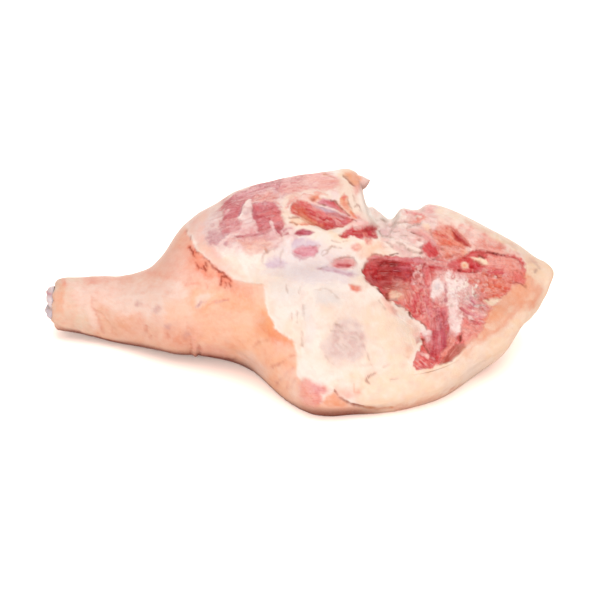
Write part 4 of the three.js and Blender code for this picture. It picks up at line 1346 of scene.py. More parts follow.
# %% [markdown]
# ## The lower wedge and the torn edge
# The cut runs down into a wedge of darker muscle near the lip. Along its left side the fat is torn,
# and dark bits cling to the tear.

# %% Paint the wedge
WEDGE = "433,322 437,311 445,311 448,320 450,330 448,345 442,350 440,360 433,364 432,352 433,338"
area("wedge", RED_LEAN, WEDGE, 1, 2, 1.4, -0.6, 92)
area("wedge heart", PURPLE_LEAN, "438,318 446,320 447,344 441,350 438,344", 0.6, 2.5, 1.2, 0, 92)
area("wedge left", PINK_LEAN, "432,318 438,316 439,346 436,360 431,356", 0.6, 2, 1.2, -0.3, 92)
area("wedge top", PINK_LEAN, "434,309 447,308 448,324 438,328", 0.75, 2.5, 1.5, 0, 95)
area("wedge point", CRIMSON_LEAN, "432,350 437,348 436,362 430,364", 0.7, 2, 1.2, -0.3, 92)
line("wedge dark", DARK_LEAN, "443.5,313 443.5,323", 2.2, 0.6, 1.3, 0.8, -0.4)
area("wedge pink", SALMON_LEAN, "446,330 456,337 456,344 448,354 442,362 441,352 448,345", 0.9, 2, 1.2, 0.4,
    118)
area("band shade", BRUISE, "450,329 457,333 455,338 449,335", 0.5, 2, 1.2, -0.3)
area("brown flank", BROWN_LEAN, "457,343 464,343 466,347 458,356 450,361 440,365 446,356 452,348", 1.1, 1.5,
    0.9, 0.1, 122)
area("brown dark end", SEAM, "458,344 464,344 465,348 458,351", 0.4, 2, 1, 0, 122)
line("brown edge", SEAM, "465,348 458,356 450,361 441,365", 1.6, 0.45, 1.1, 0.7, -0.6)
area("pink cap", SALMON_LEAN, "463,328 476,330 484,325 478,336 470,342 466,345 463,337", 0.75, 2.2, 1.4,
    0.4, 30)
area("slit", BROWN_SEAM, "458.5,335 462,334.5 462,340 460.5,342 459.5,339", 0.9, 1, 0.5, -0.5)
area("slit side", DARK_LEAN, "455,336 460,335 460,340 457,340", 0.6, 1.5, 0.8, -0.3)
print(covered("lean", "fat"))

# %% Paint the foot of the cut and the tear
STRIPED_FOOT = "414,366 417,353 423,351 429,357 436,356 436,365 428,367 418,370"
area("striped foot", CORAL_LEAN, STRIPED_FOOT, 1, 1.8, 1, 0, 40)
FOOT_STRIPES = (
    "418,358 424,362 427,366", "421,354 427,359 433,363", "424,360 430,358 435,359", "421,361 425,365",
)
for route in FOOT_STRIPES:
    line("foot stripe", CRIMSON_LEAN, route, 1.9, 0.65, 1.1, 0.7, -0.5)
mottle("foot lights", PALE_LEAN, STRIPED_FOOT, 2.2, 0.2, 0.6, 0.3, 40)
line("foot edge", RED_LEAN, "416,369 424,367 433,365", 1.8, 0.6, 1.1, 0.7, -0.6)
area("white bit", WHITE_SINEW, "419,331 426,329 433,331 433,336 425,336", 1, 1.6, 1, 0.7)
area("white tongue", PINK_FAT, "424,352 430,354 429,358 425,356", 0.95, 1.5, 0.9, 0.5)
area("pink bits", PINK_LEAN, "425,336 432,336 431,350 428,346", 0.6, 2, 1.2, 0.1, 90)
area("lilac bits", PINK_MEMBRANE, "425,336 432,336 431,342 427,341", 0.6, 1.8, 1)
area("tan bit", BROWN_LEAN, "416,337 421,337 421,342 417,343", 0.7, 2.2, 1.2, 0.3)
area("rosy bit", PINK_FAT, "413,333 420,333 422,337 415,338", 0.9, 2, 1.2)
line("tear slit", BROWN_SEAM, "424,339 425,343 427,348 430,352", 2.5, 0.8, 1.1, 0.7, -0.6)
line("tear corner", BROWN_SEAM, "409.5,312 411,316 414,318.5", 2.6, 0.8, 1.1, 0.7, -0.9)
line("tear lip", BROWN_LEAN, "415,319 421,321 426,324 427,328", 2.4, 0.75, 1.1, 0.8, -0.8)
area("tear brown", BROWN_LEAN, "383,291 389,290 392,297 390,304 386,300", 0.75, 2, 1.4, -0.6)
line("tear dark", BROWN_SEAM, "388,294 389,299", 2.4, 0.55, 1.2, 0.9, -0.6)
area("tear pink", PINK_FAT, "382,295 388,302 396,310 400,318 392,314 384,304", 0.95, 2.2, 1.6, 0.2)
area("tear foot", BRUISE, "391,306 397,308 399,314 394,314", 0.55, 2, 1.2, -0.4)
line("tear left foot", GREY_SCRATCH, "379,300 382,305 385,309", 1.8, 0.5, 1.2, 1, -0.4)
TEAR_BITS = ("392,298 396,299 400,301", "396,304 401,306", "402,305 407,308")
for route in TEAR_BITS:
    line("tear bit", GREY_SCRATCH, route, 2, 0.75, 1.1, 1, -0.5)
area("grey by the tear", GREY_FAT, "412,325 418,326 421,332 415,333", 0.7, 2, 1.5)
mottle("wedge fibres", PURPLE_LEAN, WEDGE, 2.2, 0.15, 0.4, -0.3, 92)
mottle("wet darks", DARK_LEAN, CUT_FACE, 3.4, 0.4, 0.25, -0.2)
print(covered("lean", "fat"))

# %% [markdown]
# ## Last touches
# More nicks of the knife follow the collar. Thin washes then bring broad tones nearer to the
# photograph: orange where the lean dries towards the rind, and warmer or paler fat about it. A
# dark line of painted shadow lies in the gap under the shank.

# %% Paint the last touches
LAST_NICKS = (
    "223,272 227,276", "227,276 231,281", "216,268 219,271", "209,262 212,265", "205,262 207,266",
    "192,254 195,258", "229,283 231,286", "190,236 190,240",
)
for route in LAST_NICKS:
    line("late nick", NICK, route, 1.8, 0.65, 1, 0.8, -0.6)
WASH_SOFT, WASH_RAG = 4, 2
WASHES = {
    "right": (ORANGE_LEAN, "506,259 522,266 527,280 512,286 503,295 488,295 484,288 494,281 508,278", 0.4),
    "right end": (RED_LEAN, "514,272 525,274 526,284 515,284", 0.3),
    "rim": (ORANGE_FAT, "512,287 527,285 530,292 522,304 508,306 506,296", 0.5),
    "foot": (ORANGE_FAT, "486,310 502,304 507,312 494,322 484,322", 0.6),
    "crest": (SALMON_LEAN, "474,242 486,239 498,245 492,250 476,250", 0.45),
    "upper cut": (ORANGE_LEAN, "440,243 462,243 468,254 460,260 442,258", 0.65),
    "crest left": (SALMON_LEAN, "414,226 434,226 434,242 416,242", 0.4),
    "white column": (WHITE_SINEW, "446,276 454,276 455,286 447,287", 0.5),
    "middle": (CORAL_LEAN, "424,272 438,272 436,280 426,290", 0.25),
    "slit": (RED_LEAN, "458,268 474,268 474,279 459,279", 0.25),
    "curl": (PINK_FAT, "475,271 487,271 487,279 476,280", 0.3),
    "stripe": (PALE_LEAN, "476,306 485,306 486,314 476,314", 0.4),
    "pocket foot": (SALMON_LEAN, "392,280 410,279 412,293 396,293", 0.75),
    "pocket side": (PALE_LEAN, "364,274 372,274 375,286 367,285", 0.2),
    "wedge": (CRIMSON_LEAN, "437,322 446,322 447,344 441,352 437,346", 0.3),
    "wedge flank": (ORANGE_FAT, "464,348 474,343 472,356 458,361", 0.55),
    "tear": (TAN_FAT, "408,318 420,320 422,334 410,334", 0.35),
    "foot side": (TAN_FAT, "406,344 414,344 414,360 406,358", 0.35),
    "under the foot": (TAN_FAT, "424,369 446,367 444,377 426,378", 0.35),
    "lip": (CREAM_FAT, "460,368 492,360 486,380 464,384", 0.6),
    "knuckle foot": (PINK_LEAN, "240,227 262,224 294,224 300,238 270,240 242,239", 0.4),
    "oval": (CORAL_LEAN, "304,193 320,192 325,203 307,207", 0.3),
    "flank": (CORAL_LEAN, "345,215 361,213 371,222 365,228 348,227", 0.4),
    "under the flank": (ORANGE_FAT, "370,240 384,240 386,253 371,254", 0.4),
    "gland": (PINK_LEAN, "327,257 345,257 345,269 329,269", 0.25),
    "chin": (ROSY_RIND, "336,387 362,387 360,399 338,399", 0.55),
    "chin side": (PALE_RIND, "288,385 302,385 303,400 290,399", 0.5),
    "thigh edge": (PALE_RIND, "238,353 254,353 270,374 262,385 246,370", 0.6),
    "calf": (PEACH_RIND, "164,300 188,300 190,322 166,322", 0.45),
    "oval left": (SALMON_LEAN, "286,190 300,188 302,203 288,205", 0.35),
    "oval right": (ORANGE_LEAN, "335,201 347,200 349,213 338,214", 0.35),
    "strip": (SALMON_LEAN, "318,179 340,177 342,189 320,191", 0.4),
    "flank foot": (TAN_FAT, "358,246 371,246 372,257 360,258", 0.5),
    "right rim": (ORANGE_FAT, "525,273 533,275 532,286 526,286", 0.35),
    "tear left": (TAN_FAT, "382,298 392,300 400,312 394,316 384,308", 0.35),
    "band foot": (PALE_LEAN, "449,309 460,308 461,321 450,322", 0.45),
    "wedge top": (PALE_LEAN, "430,316 438,316 438,328 431,328", 0.3),
    "fat foot": (IVORY_FAT, "304,350 322,350 322,366 306,366", 0.5),
    "thigh foot": (PALE_RIND, "279,367 295,368 295,384 281,382", 0.45),
}
for place, (tone, outline, cover) in WASHES.items():
    area(place + " wash", tone, outline, cover, WASH_SOFT, WASH_RAG)
# Painted shadow in the gap under the shank.
area("shade under the shank", CONTACT_SHADOW, "196,354.5 206,355.5 220,355.5 236,358.5 232,361 214,361 202,359",
    0.7, 1.5, 2)
print(covered("rind", "fat", "lean"), "after", len(PATCHES), "patches")

# %% [markdown]
# ## Relief from the finishes
# Each kind of flesh has its own surface. Lean is ridged along its fibres, fat is soft and lumpy,
# torn fat more so, and rind is smooth with shallow dimples. All of it lifts the grid along its own
# outward directions, so the shape is real from every side.

# %% Lift the surface
# Noises of the surface: share, size in metres and seed.
FIBRES = (1, 0.0028, 11), (1, 0.007, 12)
LUMPS = (1, 0.016, 13), (0.5, 0.007, 14)
BROAD_CRAGS, FINE_CRAGS = (0.009, 15), (0.0035, 16)
DIMPLES = (1, 0.03, 17), (0.35, 0.009, 18)
CREASE_NOISE, CREASE_DRAWN = (0.006, 19), np.array([1, 0.18, 0.18])
SHANK_FADE = (0.03, 0.12)
# How far each kind rises, in millimetres.
FIBRE_RISE, CRAG_RISE, DIMPLE_RISE, CREASE_RISE = 0.45, 0.6, 0.5, 0.3
FAT_LUMPS, LEAN_LUMPS, TORN_LUMPS = 0.4, 0.6, 0.9
SINEW_FIBRES, SINEW_ROUGH, CRAG_LEVEL = 0.3, 0.5, 0.6
# Edges of the torn fat and the rough cut, in pixels inside their outlines.
TORN_EDGE, TORN_FACING, ROUGH_EDGE = (-4, 5), (0.15, 0.5), (-2, 5)

for canvas in CANVASES:
    rind, fat, lean, sinew = canvas.kind.T
    torn = smooth(canvas.depth(TORN_FAT), *TORN_EDGE) * smooth(canvas.facing, *TORN_FACING) * (1 - lean)
    rough = smooth(canvas.depth(CUT_FACE), *ROUGH_EDGE) * canvas.masks["face"]
    rough = rough * (lean + SINEW_ROUGH * sinew)
    broad, fine = np.abs(noise(canvas.place, *BROAD_CRAGS)), np.abs(noise(canvas.place, *FINE_CRAGS))
    crags = CRAG_LEVEL - 2 * broad - fine
    creases = noise(canvas.place * CREASE_DRAWN, *CREASE_NOISE) * smooth(-canvas.place[:, 0], *SHANK_FADE)
    lumps = layered(canvas.place, LUMPS)
    canvas.relief = FIBRE_RISE * canvas.fibred(FIBRES) * (lean + SINEW_FIBRES * sinew)
    canvas.relief += lumps * (FAT_LUMPS * fat + LEAN_LUMPS * lean + TORN_LUMPS * torn)
    canvas.relief += CRAG_RISE * crags * (rough + torn)
    canvas.relief += rind * (DIMPLE_RISE * layered(canvas.place, DIMPLES) + CREASE_RISE * creases)
    canvas.lift = canvas.blurred(canvas.lift + canvas.relief, 1)
    print(canvas.name, "lift in mm:", canvas.lift.min().round(2), "to", canvas.lift.max().round(2))

# %% [markdown]
# ## Blocks in the leg
# The two blocks of open flesh lie a hair above the leg inside their outlines, and dive under it
# outside, while the leg's own skin sinks below them. At the hock, the tip and the floor the relief
# fades out. The rim of the hock cut is ragged.

# %% Set the pieces into each other
UPPER_REGION = (
    "205,240 208,224 222,206 250,192 280,183 310,178 334,175 348,178 353,190 356,204 364,214 372,220 "
    "373,238 364,246 356,256 353,276 340,283 300,284 270,276 240,260 218,254"
)
CUT_REGION = (
    "358,262 361,252 368,240 377,228 392,226 402,216 430,211 450,215 470,224 500,241 524,255 534,268 "
    "533,286 516,302 505,316 490,332 470,352 452,368 430,376 410,376 407,362 413,348 408,334 411,326 "
    "396,317 380,305 366,290 357,276"
)
TOP_OFFSET, SUNK_OFFSET, UNDER_DEPTH = 0.2, -4, 2
BLOCK_EDGE, SUNK_EDGE = (-2.5, 1.5), (2, 6)
HOCK_FADE, TIP_FADE, FLOOR_FADE = (HOCK_X + 3, HOCK_X + 18), (TIP_X - 4, TIP_X + 5), (0.0005, 0.012)
RIM_RAG, RIM_FADE, RIM_NOISE = 3, (HOCK_X + 4, HOCK_X + 18), ((1, 0.011, 41), (0.7, 0.005, 42))
SOCKET_MARGIN = 0.01

row_place = row_x[ring]
ends = smooth(row_place, *HOCK_FADE) * (1 - smooth(row_place, *TIP_FADE))
held = np.repeat(ends, COLUMNS) * smooth(leg_canvas.place[:, 2], *FLOOR_FADE)
leg_canvas.height = leg_canvas.lift * held
for canvas, region in ((upper_canvas, UPPER_REGION), (cut_canvas, CUT_REGION)):
    under = smooth(leg_canvas.depth(region), *SUNK_EDGE) * leg_canvas.masks["face"]
    leg_canvas.height -= UNDER_DEPTH * under
    shown = smooth(canvas.depth(region), *BLOCK_EDGE) * canvas.masks["face"]
    canvas.height = canvas.lift * shown + SUNK_OFFSET + (TOP_OFFSET - SUNK_OFFSET) * shown
    print(canvas.name, "shows", round(100 * shown.mean()), "% of its grid")
flap_canvas.height = flap_canvas.lift
for canvas in CANVASES:
    canvas.skin = canvas.place + canvas.normals * (canvas.height * MM)[:, None]
outside = row_scale[ring] > socket_scale + SOCKET_MARGIN
worn = np.repeat(outside * (1 - smooth(row_place, *RIM_FADE)), COLUMNS)
leg_canvas.skin[:, 0] += RIM_RAG * MM * worn * layered(leg_canvas.place, RIM_NOISE)
print("the hock's rim wanders by", RIM_RAG, "mm")

# %% [markdown]
# ## The far side and the crest
# The photograph doesn't show the far side, so noise puts soft blotches on its rind. Along the crest
# the light from behind makes the flesh look paler: a pale bloom is painted there as a painted highlight, on
# all but the lean.

# %% Blotch the far side and paint a highlight along the crest
# Each row: tone, size in metres, seed and share.
FAR_BLOTCHES = (
    (ROSY_RIND, 0.045, 51, 0.7),
    (PALE_RIND, 0.030, 52, 0.5),
    (TAN_RIND, 0.016, 53, 0.5),
    (RED_RIND, 0.009, 54, 0.15),
)
FAR_FACING, BLOTCH_LEVEL = (-0.45, -0.15), (0.05, 0.6)
BLOOM, BLOOM_START, BLOOM_END, BLOOM_RISE = 0.5, (-0.3, -0.05), (0.05, 0.4), (0.1, 0.4)

for canvas in CANVASES:
    rind, fat, lean, sinew = canvas.kind.T
    far_side = rind * (1 - smooth(canvas.facing, *FAR_FACING))
    for tone, size, seed, cover in FAR_BLOTCHES:
        canvas.mix_tone(tone, cover * far_side * smooth(noise(canvas.place, size, seed), *BLOTCH_LEVEL))
    # Painted highlight: a pale bloom along the crest, on all but the lean.
    bloom = BLOOM * smooth(canvas.facing, *BLOOM_START) * (1 - smooth(canvas.facing, *BLOOM_END))
    bloom *= smooth(canvas.normals[:, 2], *BLOOM_RISE) * (1 - lean) * (1 - canvas.far_wall)
    canvas.mix_tone(WHITE_FAT, bloom)
    print(canvas.name, "has", round(100 * (bloom > BLOOM / 2).mean(), 1), "% in bloom")

# %% [markdown]
# ## Thick and thin flesh
# Flesh is stained glass over white fat: where it is thicker its colour is deeper, and where it lies in a
# hollow it is darkened as painted shade. A tone raised to a power does just that. The power grows with a
# slow noise, drawn out along the fibres in lean, and with the depth of each place below the ground about
# it, which is the painted shade. Where the leg rests on the floor, its underside is darkened as painted
# shadow.

# %% Deepen and thin the tones
# For rind, fat, lean and sinew: how much noise changes the tone, and how much painted shade darkens the
# hollows.
VARIETY = np.array([0.28, 0.33, 0.52, 0.42])
HOLLOW_SHADE = np.array([0.12, 0.20, 0.30, 0.25])
FIBRE_TONE = (0.6, 0.0021, 31), (0.7, 0.006, 32)
GRIT = (0.6, 0.0024, 33), (0.7, 0.007, 34)
SLOW = (0.5, 0.009, 35), (0.8, 0.028, 36)
LEAN_FIBRE, LEAN_GRIT, OTHER_GRIT, OTHER_SLOW = 0.8, 0.6, 0.5, 0.65
NEAR_BLUR, WIDE_BLUR, POWER_LIMIT = 8, 40, 1.1
# Painted shadow where the leg rests: set by height, by downward turn, and fading out towards the right.
REST_HEIGHT, REST_TURN, REST_END, REST_SHARE = (0.008, 0.030), (0.34, 0.62), (0.06, 0.12), 0.9
LIGHT_LEVEL, VEIL, DARKEST = np.array([2.60, 2.55, 2.46]), 0.034, 0.003


def as_paint(light):
    """The paint that looks like a colour here: less what the gloss adds, over the light on it."""
    return np.clip(light - VEIL, DARKEST, None) / LIGHT_LEVEL


for canvas in CANVASES:
    lean = canvas.kind[:, 2]
    grit = layered(canvas.place, GRIT)
    in_lean = LEAN_FIBRE * canvas.fibred(FIBRE_TONE) + LEAN_GRIT * grit
    elsewhere = OTHER_GRIT * grit + OTHER_SLOW * layered(canvas.place, SLOW)
    vary = canvas.kind @ VARIETY * (lean * in_lean + (1 - lean) * elsewhere)
    near, wide = canvas.blurred(canvas.relief, NEAR_BLUR), canvas.blurred(canvas.relief, WIDE_BLUR)
    # Painted shade: places that lie below the ground about them are darkened, as in a hollow.
    hollow = 0.5 * near + 0.5 * wide - canvas.relief
    power = 2 ** np.clip(vary + hollow * (canvas.kind @ HOLLOW_SHADE), -POWER_LIMIT, POWER_LIMIT)
    low, left = canvas.place[:, 2], canvas.place[:, 0]
    # Painted shadow on the underside, where the leg rests on the floor.
    contact_shadow_share = (1 - smooth(low, *REST_HEIGHT)) * (1 - smooth(left, *REST_END))
    contact_shadow_share *= REST_SHARE * smooth(-canvas.normals[:, 2], *REST_TURN)
    canvas.tone = canvas.tone ** power[:, None]
    canvas.mix_tone(CONTACT_SHADOW, contact_shadow_share)
    canvas.paint = as_paint(canvas.tone)
    print(canvas.name, "power:", power.min().round(2), "to", power.max().round(2))

# %% [markdown]
# ## Meshes
# Rings of quads, closed by a fan of triangles at each pole, make the sealed skins of the leg and the
# flap. A block of open flesh is a sheet of quads whose border is drawn down to one point deep inside
# the leg. The paint goes with each mesh as named attributes, which the material reads back.

# %% Build the pieces
THREAD_STRETCH = 0.14
UPPER_ROOT, CUT_ROOT = np.array([-0.010, 0.030, 0.085]), np.array([0.090, -0.005, 0.050])


def new_piece(name, points, faces):
    """A smooth mesh object from points and faces."""
    mesh = bpy.data.meshes.new(name)
    mesh.from_pydata(points.tolist(), [], faces)
    mesh.polygons.foreach_set("use_smooth", np.ones(len(mesh.polygons), bool))
    piece = bpy.data.objects.new(name, mesh)
    bpy.context.scene.collection.objects.link(piece)
    return piece


def ring_piece(name, rings, poles):
    """A sealed mesh from rings of points: quads between neighbouring rings, round their seam, and a
    fan of triangles to the pole before the first ring and after the last."""
    rows, columns = rings.shape[:2]
    index = np.arange(rows * columns).reshape(rows, columns)
    following = np.roll(index, -1, axis=1)
    quads = np.stack([index[:-1], following[:-1], following[1:], index[1:]], axis=-1).reshape(-1, 4)
    first, last = rows * columns, rows * columns + 1
    start = np.stack([np.full(columns, first), following[0], index[0]], axis=-1)
    end = np.stack([index[-1], following[-1], np.full(columns, last)], axis=-1)
    points = np.concatenate([rings.reshape(-1, 3), poles])
    return new_piece(name, points, quads.tolist() + start.tolist() + end.tolist())


def block_piece(name, sheet, root):
    """A sealed mesh from a sheet of points: quads over it, and a fan from its border to a root below."""
    rows, columns = sheet.shape[:2]
    index = np.arange(rows * columns).reshape(rows, columns)
    corners = [index[:-1, :-1], index[:-1, 1:], index[1:, 1:], index[1:, :-1]]
    quads = np.stack(corners, axis=-1).reshape(-1, 4)
    border = np.concatenate([index[0, :-1], index[:-1, -1], index[-1, :0:-1], index[:0:-1, 0]])
    fan = np.stack([np.roll(border, -1), border, np.full(len(border), rows * columns)], axis=-1)
    points = np.concatenate([sheet.reshape(-1, 3), root[None]])
    return new_piece(name, points, quads.tolist() + fan.tolist())


def add_tone(piece, paint):
    """Stores a colour at each point, going on from the last one where the mesh has more."""
    spare = len(piece.data.vertices) - len(paint)
    tone = np.ones((len(piece.data.vertices), 4), np.float32)
    tone[:, :3] = np.pad(paint, ((0, spare), (0, 0)), mode="edge")
    piece.data.attributes.new("tone", "FLOAT_COLOR", "POINT").data.foreach_set("color", tone.ravel())


def add_fields(piece, canvas):
    """Stores the kinds and the fibres' places at each point, going on from the last one."""
    along, across = grain_place(canvas.u, canvas.v, canvas.grain)
    rind, fat, lean, sinew = canvas.kind.T
    fields = {"rind": rind, "lean": lean, "sinew": sinew,
              "grain_along": along * THREAD_STRETCH, "grain_across": across}
    spare = len(piece.data.vertices) - len(canvas.place)
    for name, values in fields.items():
        field = piece.data.attributes.new(name, "FLOAT", "POINT")
        field.data.foreach_set("value", np.pad(values, (0, spare), mode="edge").astype(np.float32))


leg = ring_piece("pork_leg", leg_canvas.skin.reshape(leg_grid.shape), leg_poles)
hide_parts("leg")
flap = ring_piece("flank_flap", flap_canvas.skin.reshape(flap_grid.shape), flap_poles)
upper = block_piece("knuckle_and_flank", upper_canvas.skin.reshape(upper_grid.shape), UPPER_ROOT)
cut = block_piece("rump_cut", cut_canvas.skin.reshape(cut_grid.shape), CUT_ROOT)
FLESH_PIECES = {leg: leg_canvas, flap: flap_canvas, upper: upper_canvas, cut: cut_canvas}
for piece, canvas in FLESH_PIECES.items():
    add_fields(piece, canvas)
    add_tone(piece, canvas.paint)
    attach(piece, "root")
    triangles = sum(len(face.vertices) - 2 for face in piece.data.polygons)
    print(piece.name, "has", triangles, "triangles")

# %% [markdown]
# ## Finish of the flesh
# The painted tone is only the ground. Fibres streak the lean, pale threads of fat run between them,
# the rind is mottled and pored, and everything is moist, so the gloss changes with the kind. Light
# goes a little way in, as it does in real flesh.

# %% Helpers for node materials
SHINE = 0.18


def new_material(name):
    """An empty node material with its tree and its shader."""
    material = bpy.data.materials.new(name)
    material.use_nodes = True
    tree = material.node_tree
    return material, tree, tree.nodes["Principled BSDF"]


def set_sockets(node, values):
    """Sets constants on a node's own sockets, by their names."""
    for name, value in values.items():
        node.inputs[name].default_value = value


def field_node(tree, name, output="Fac"):
    """Reads one of the piece's own attributes."""
    node = tree.nodes.new("ShaderNodeAttribute")
    node.attribute_name = name
    return node.outputs[output]


def math_node(tree, operation, *inputs):
    """A math node whose inputs are numbers or other nodes' outputs."""
    node = tree.nodes.new("ShaderNodeMath")
    node.operation = operation
    for socket, value in zip(node.inputs, inputs):
        if isinstance(value, bpy.types.NodeSocket):
            tree.links.new(value, socket)
        else:
            socket.default_value = value
    return node.outputs[0]


def noise_node(tree, place, scale, detail=3.0, roughness=0.55):
    """Blender's own noise at a place, with so many waves to the metre."""
    node = tree.nodes.new("ShaderNodeTexNoise")
    set_sockets(node, {"Scale": scale, "Detail": detail, "Roughness": roughness})
    tree.links.new(place, node.inputs["Vector"])
    return node.outputs["Fac"]


def step_node(tree, value, low, high, bottom=0.0, top=1.0):
    """Maps a value between two limits onto another range, smoothly."""
    node = tree.nodes.new("ShaderNodeMapRange")
    node.interpolation_type = "SMOOTHSTEP"
    set_sockets(node, {"From Min": low, "From Max": high, "To Min": bottom, "To Max": top})
    tree.links.new(value, node.inputs["Value"])
    return node.outputs["Result"]


def tint_node(tree, ground, tint, share):
    """Mixes a palette tone into the ground colour by a share."""
    node = tree.nodes.new("ShaderNodeMix")
    node.data_type = "RGBA"
    tree.links.new(share, node.inputs["Factor"])
    tree.links.new(ground, node.inputs["A"])
    node.inputs["B"].default_value = (*as_paint(seen(tint)), 1)
    return node.outputs["Result"]


def bump_node(tree, height, strength, distance, shader):
    """Bends the shader's normals by a height, so many metres deep."""
    node = tree.nodes.new("ShaderNodeBump")
    set_sockets(node, {"Strength": strength, "Distance": distance})
    tree.links.new(height, node.inputs["Height"])
    tree.links.new(node.outputs["Normal"], shader.inputs["Normal"])


print("node helpers ready in Blender", bpy.app.version_string)

# %% [markdown]
# ## Nodes of the flesh
# Noise along the fibres and noise in space each give a pattern. A stain mixes one tone into the
# paint where a pattern is high, as far as the kind at that place allows. The same patterns roughen
# the gloss and raise small bumps.

# %% Material of the flesh
ROUGHNESS, LEAN_WET, SINEW_WET, GRIT_DULL = 0.44, -0.14, -0.12, 0.20
PORE_HEIGHT, GRIT_HEIGHT = 0.35, 0.6
BUMP_STRENGTH, BUMP_DEPTH = 0.7, 0.001
FLESH_LIGHT = {
    "Subsurface Weight": 0.08,
    "Subsurface Radius": (1.0, 0.45, 0.3),
    "Subsurface Scale": 0.003,
    "Specular IOR Level": SHINE,
}

flesh, tree, shader = new_material("rind_fat_and_lean")
place = tree.nodes.new("ShaderNodeTexCoord").outputs["Object"]
rind_share = field_node(tree, "rind")
lean_share = field_node(tree, "lean")
sinew_share = field_node(tree, "sinew")
fibre = tree.nodes.new("ShaderNodeCombineXYZ")
tree.links.new(field_node(tree, "grain_along"), fibre.inputs["X"])
tree.links.new(field_node(tree, "grain_across"), fibre.inputs["Y"])
streak = noise_node(tree, fibre.outputs["Vector"], 700, 4)
thread = noise_node(tree, fibre.outputs["Vector"], 330, 5, 0.65)
cloud = noise_node(tree, place, 70, 5, 0.6)
blush = noise_node(tree, place, 190, 4, 0.6)
grit = noise_node(tree, place, 420, 4, 0.6)
pore = noise_node(tree, place, 900, 2)

colour = field_node(tree, "tone", "Color")
# Each row: tone, the kind it stains, its pattern, where it starts and is full, and its strength.
STAINS = (
    (DEEP_LEAN, lean_share, streak, 0.52, 0.76, 0.32),
    (DEEP_LEAN, lean_share, grit, 0.56, 0.76, 0.25),
    (PALE_LEAN, lean_share, thread, 0.54, 0.70, 0.34),
    (RED_RIND, rind_share, cloud, 0.50, 0.74, 0.12),
    (RED_RIND, rind_share, blush, 0.54, 0.76, 0.10),
    (PALE_RIND, rind_share, grit, 0.52, 0.76, 0.16),
    (TAN_AND_CREASE_SHADE, rind_share, pore, 0.60, 0.74, 0.16),
)
for tint, share, pattern, low, high, strength in STAINS:
    amount = math_node(tree, "MULTIPLY", share, step_node(tree, pattern, low, high, 0, strength))
    colour = tint_node(tree, colour, tint, amount)
colour = tint_node(tree, colour, PINK_FAT, step_node(tree, blush, 0.56, 0.78, 0, 0.16))
tree.links.new(colour, shader.inputs["Base Color"])

gloss = math_node(tree, "MULTIPLY_ADD", lean_share, LEAN_WET, ROUGHNESS)
gloss = math_node(tree, "MULTIPLY_ADD", sinew_share, SINEW_WET, gloss)
gloss = math_node(tree, "MULTIPLY_ADD", grit, GRIT_DULL, gloss)
tree.links.new(gloss, shader.inputs["Roughness"])
height = math_node(tree, "MULTIPLY", math_node(tree, "ADD", streak, thread), lean_share)
pores = math_node(tree, "MULTIPLY", pore, rind_share)
height = math_node(tree, "MULTIPLY_ADD", pores, PORE_HEIGHT, height)
height = math_node(tree, "MULTIPLY_ADD", grit, GRIT_HEIGHT, height)
bump_node(tree, height, BUMP_STRENGTH, BUMP_DEPTH, shader)
set_sockets(shader, FLESH_LIGHT)
for piece in FLESH_PIECES:
    piece.data.materials.append(flesh)
print("flesh finish:", len(tree.nodes), "nodes on", len(FLESH_PIECES), "pieces")

# %% [markdown]
# ## The bone end
# At the hock cut the joint was parted, so a knob of blue-grey gristle shows: rounded lobes with
# grooves between, ringed by a soft rim. It is turned like a stub, then its face is
# lifted and sunk by the lobes.

# %% Build the bone end
BONE_PROUD, FLANGE_RADIUS, FLANGE_RISE, FLANGE_HEIGHT = 11, 23, 2, 0.8
BONE_ROWS, BONE_COLUMNS, SIDE_ROWS, FLANGE_ROWS = 90, 160, 12, 5
SIDE_TOP, DOME_POWER, FLANGE_START = 0.5, 0.45, 0.4
# Grooves across the face: height of the middle, half width and depth in millimetres.
GROOVES = (8, 3.0, 6.5), (-11, 2.8, 5)
STUMP_DEPTH, STUMP_EDGE = BONE_PROUD - 4, (-14, -5)
RIM_WAVES = (0.10, 0.5, 20), (0.06, 0.2, 21)
BONE_ROUGH = (2.4, 8, 22), (1.6, 3.5, 23)

hock_middle = np.array([HOCK_X, STATIONS[0, 1], STATIONS[0, 2]])
side = np.linspace(-BONE_DEPTH, SIDE_TOP, SIDE_ROWS)
flange = np.linspace(BONE_RADIUS, FLANGE_RADIUS, FLANGE_ROWS)[1:]
dome = np.linspace(0, math.pi / 2, BONE_ROWS)[1:-1]
dome_height = FLANGE_HEIGHT + (BONE_PROUD - FLANGE_HEIGHT) * np.sin(dome) ** DOME_POWER
bone_radius = np.concatenate([np.full(len(side), BONE_RADIUS), flange, FLANGE_RADIUS * np.cos(dome)])
bone_height = np.concatenate([side, np.full(len(flange), FLANGE_HEIGHT), dome_height])
bone_angle = np.linspace(0, 2 * math.pi, BONE_COLUMNS, endpoint=False)


def bell(value, middle, width):
    """1 at the middle, falling off on both sides as the exponential of the squared distance."""
    return np.exp(-(((value - middle) / width) ** 2))


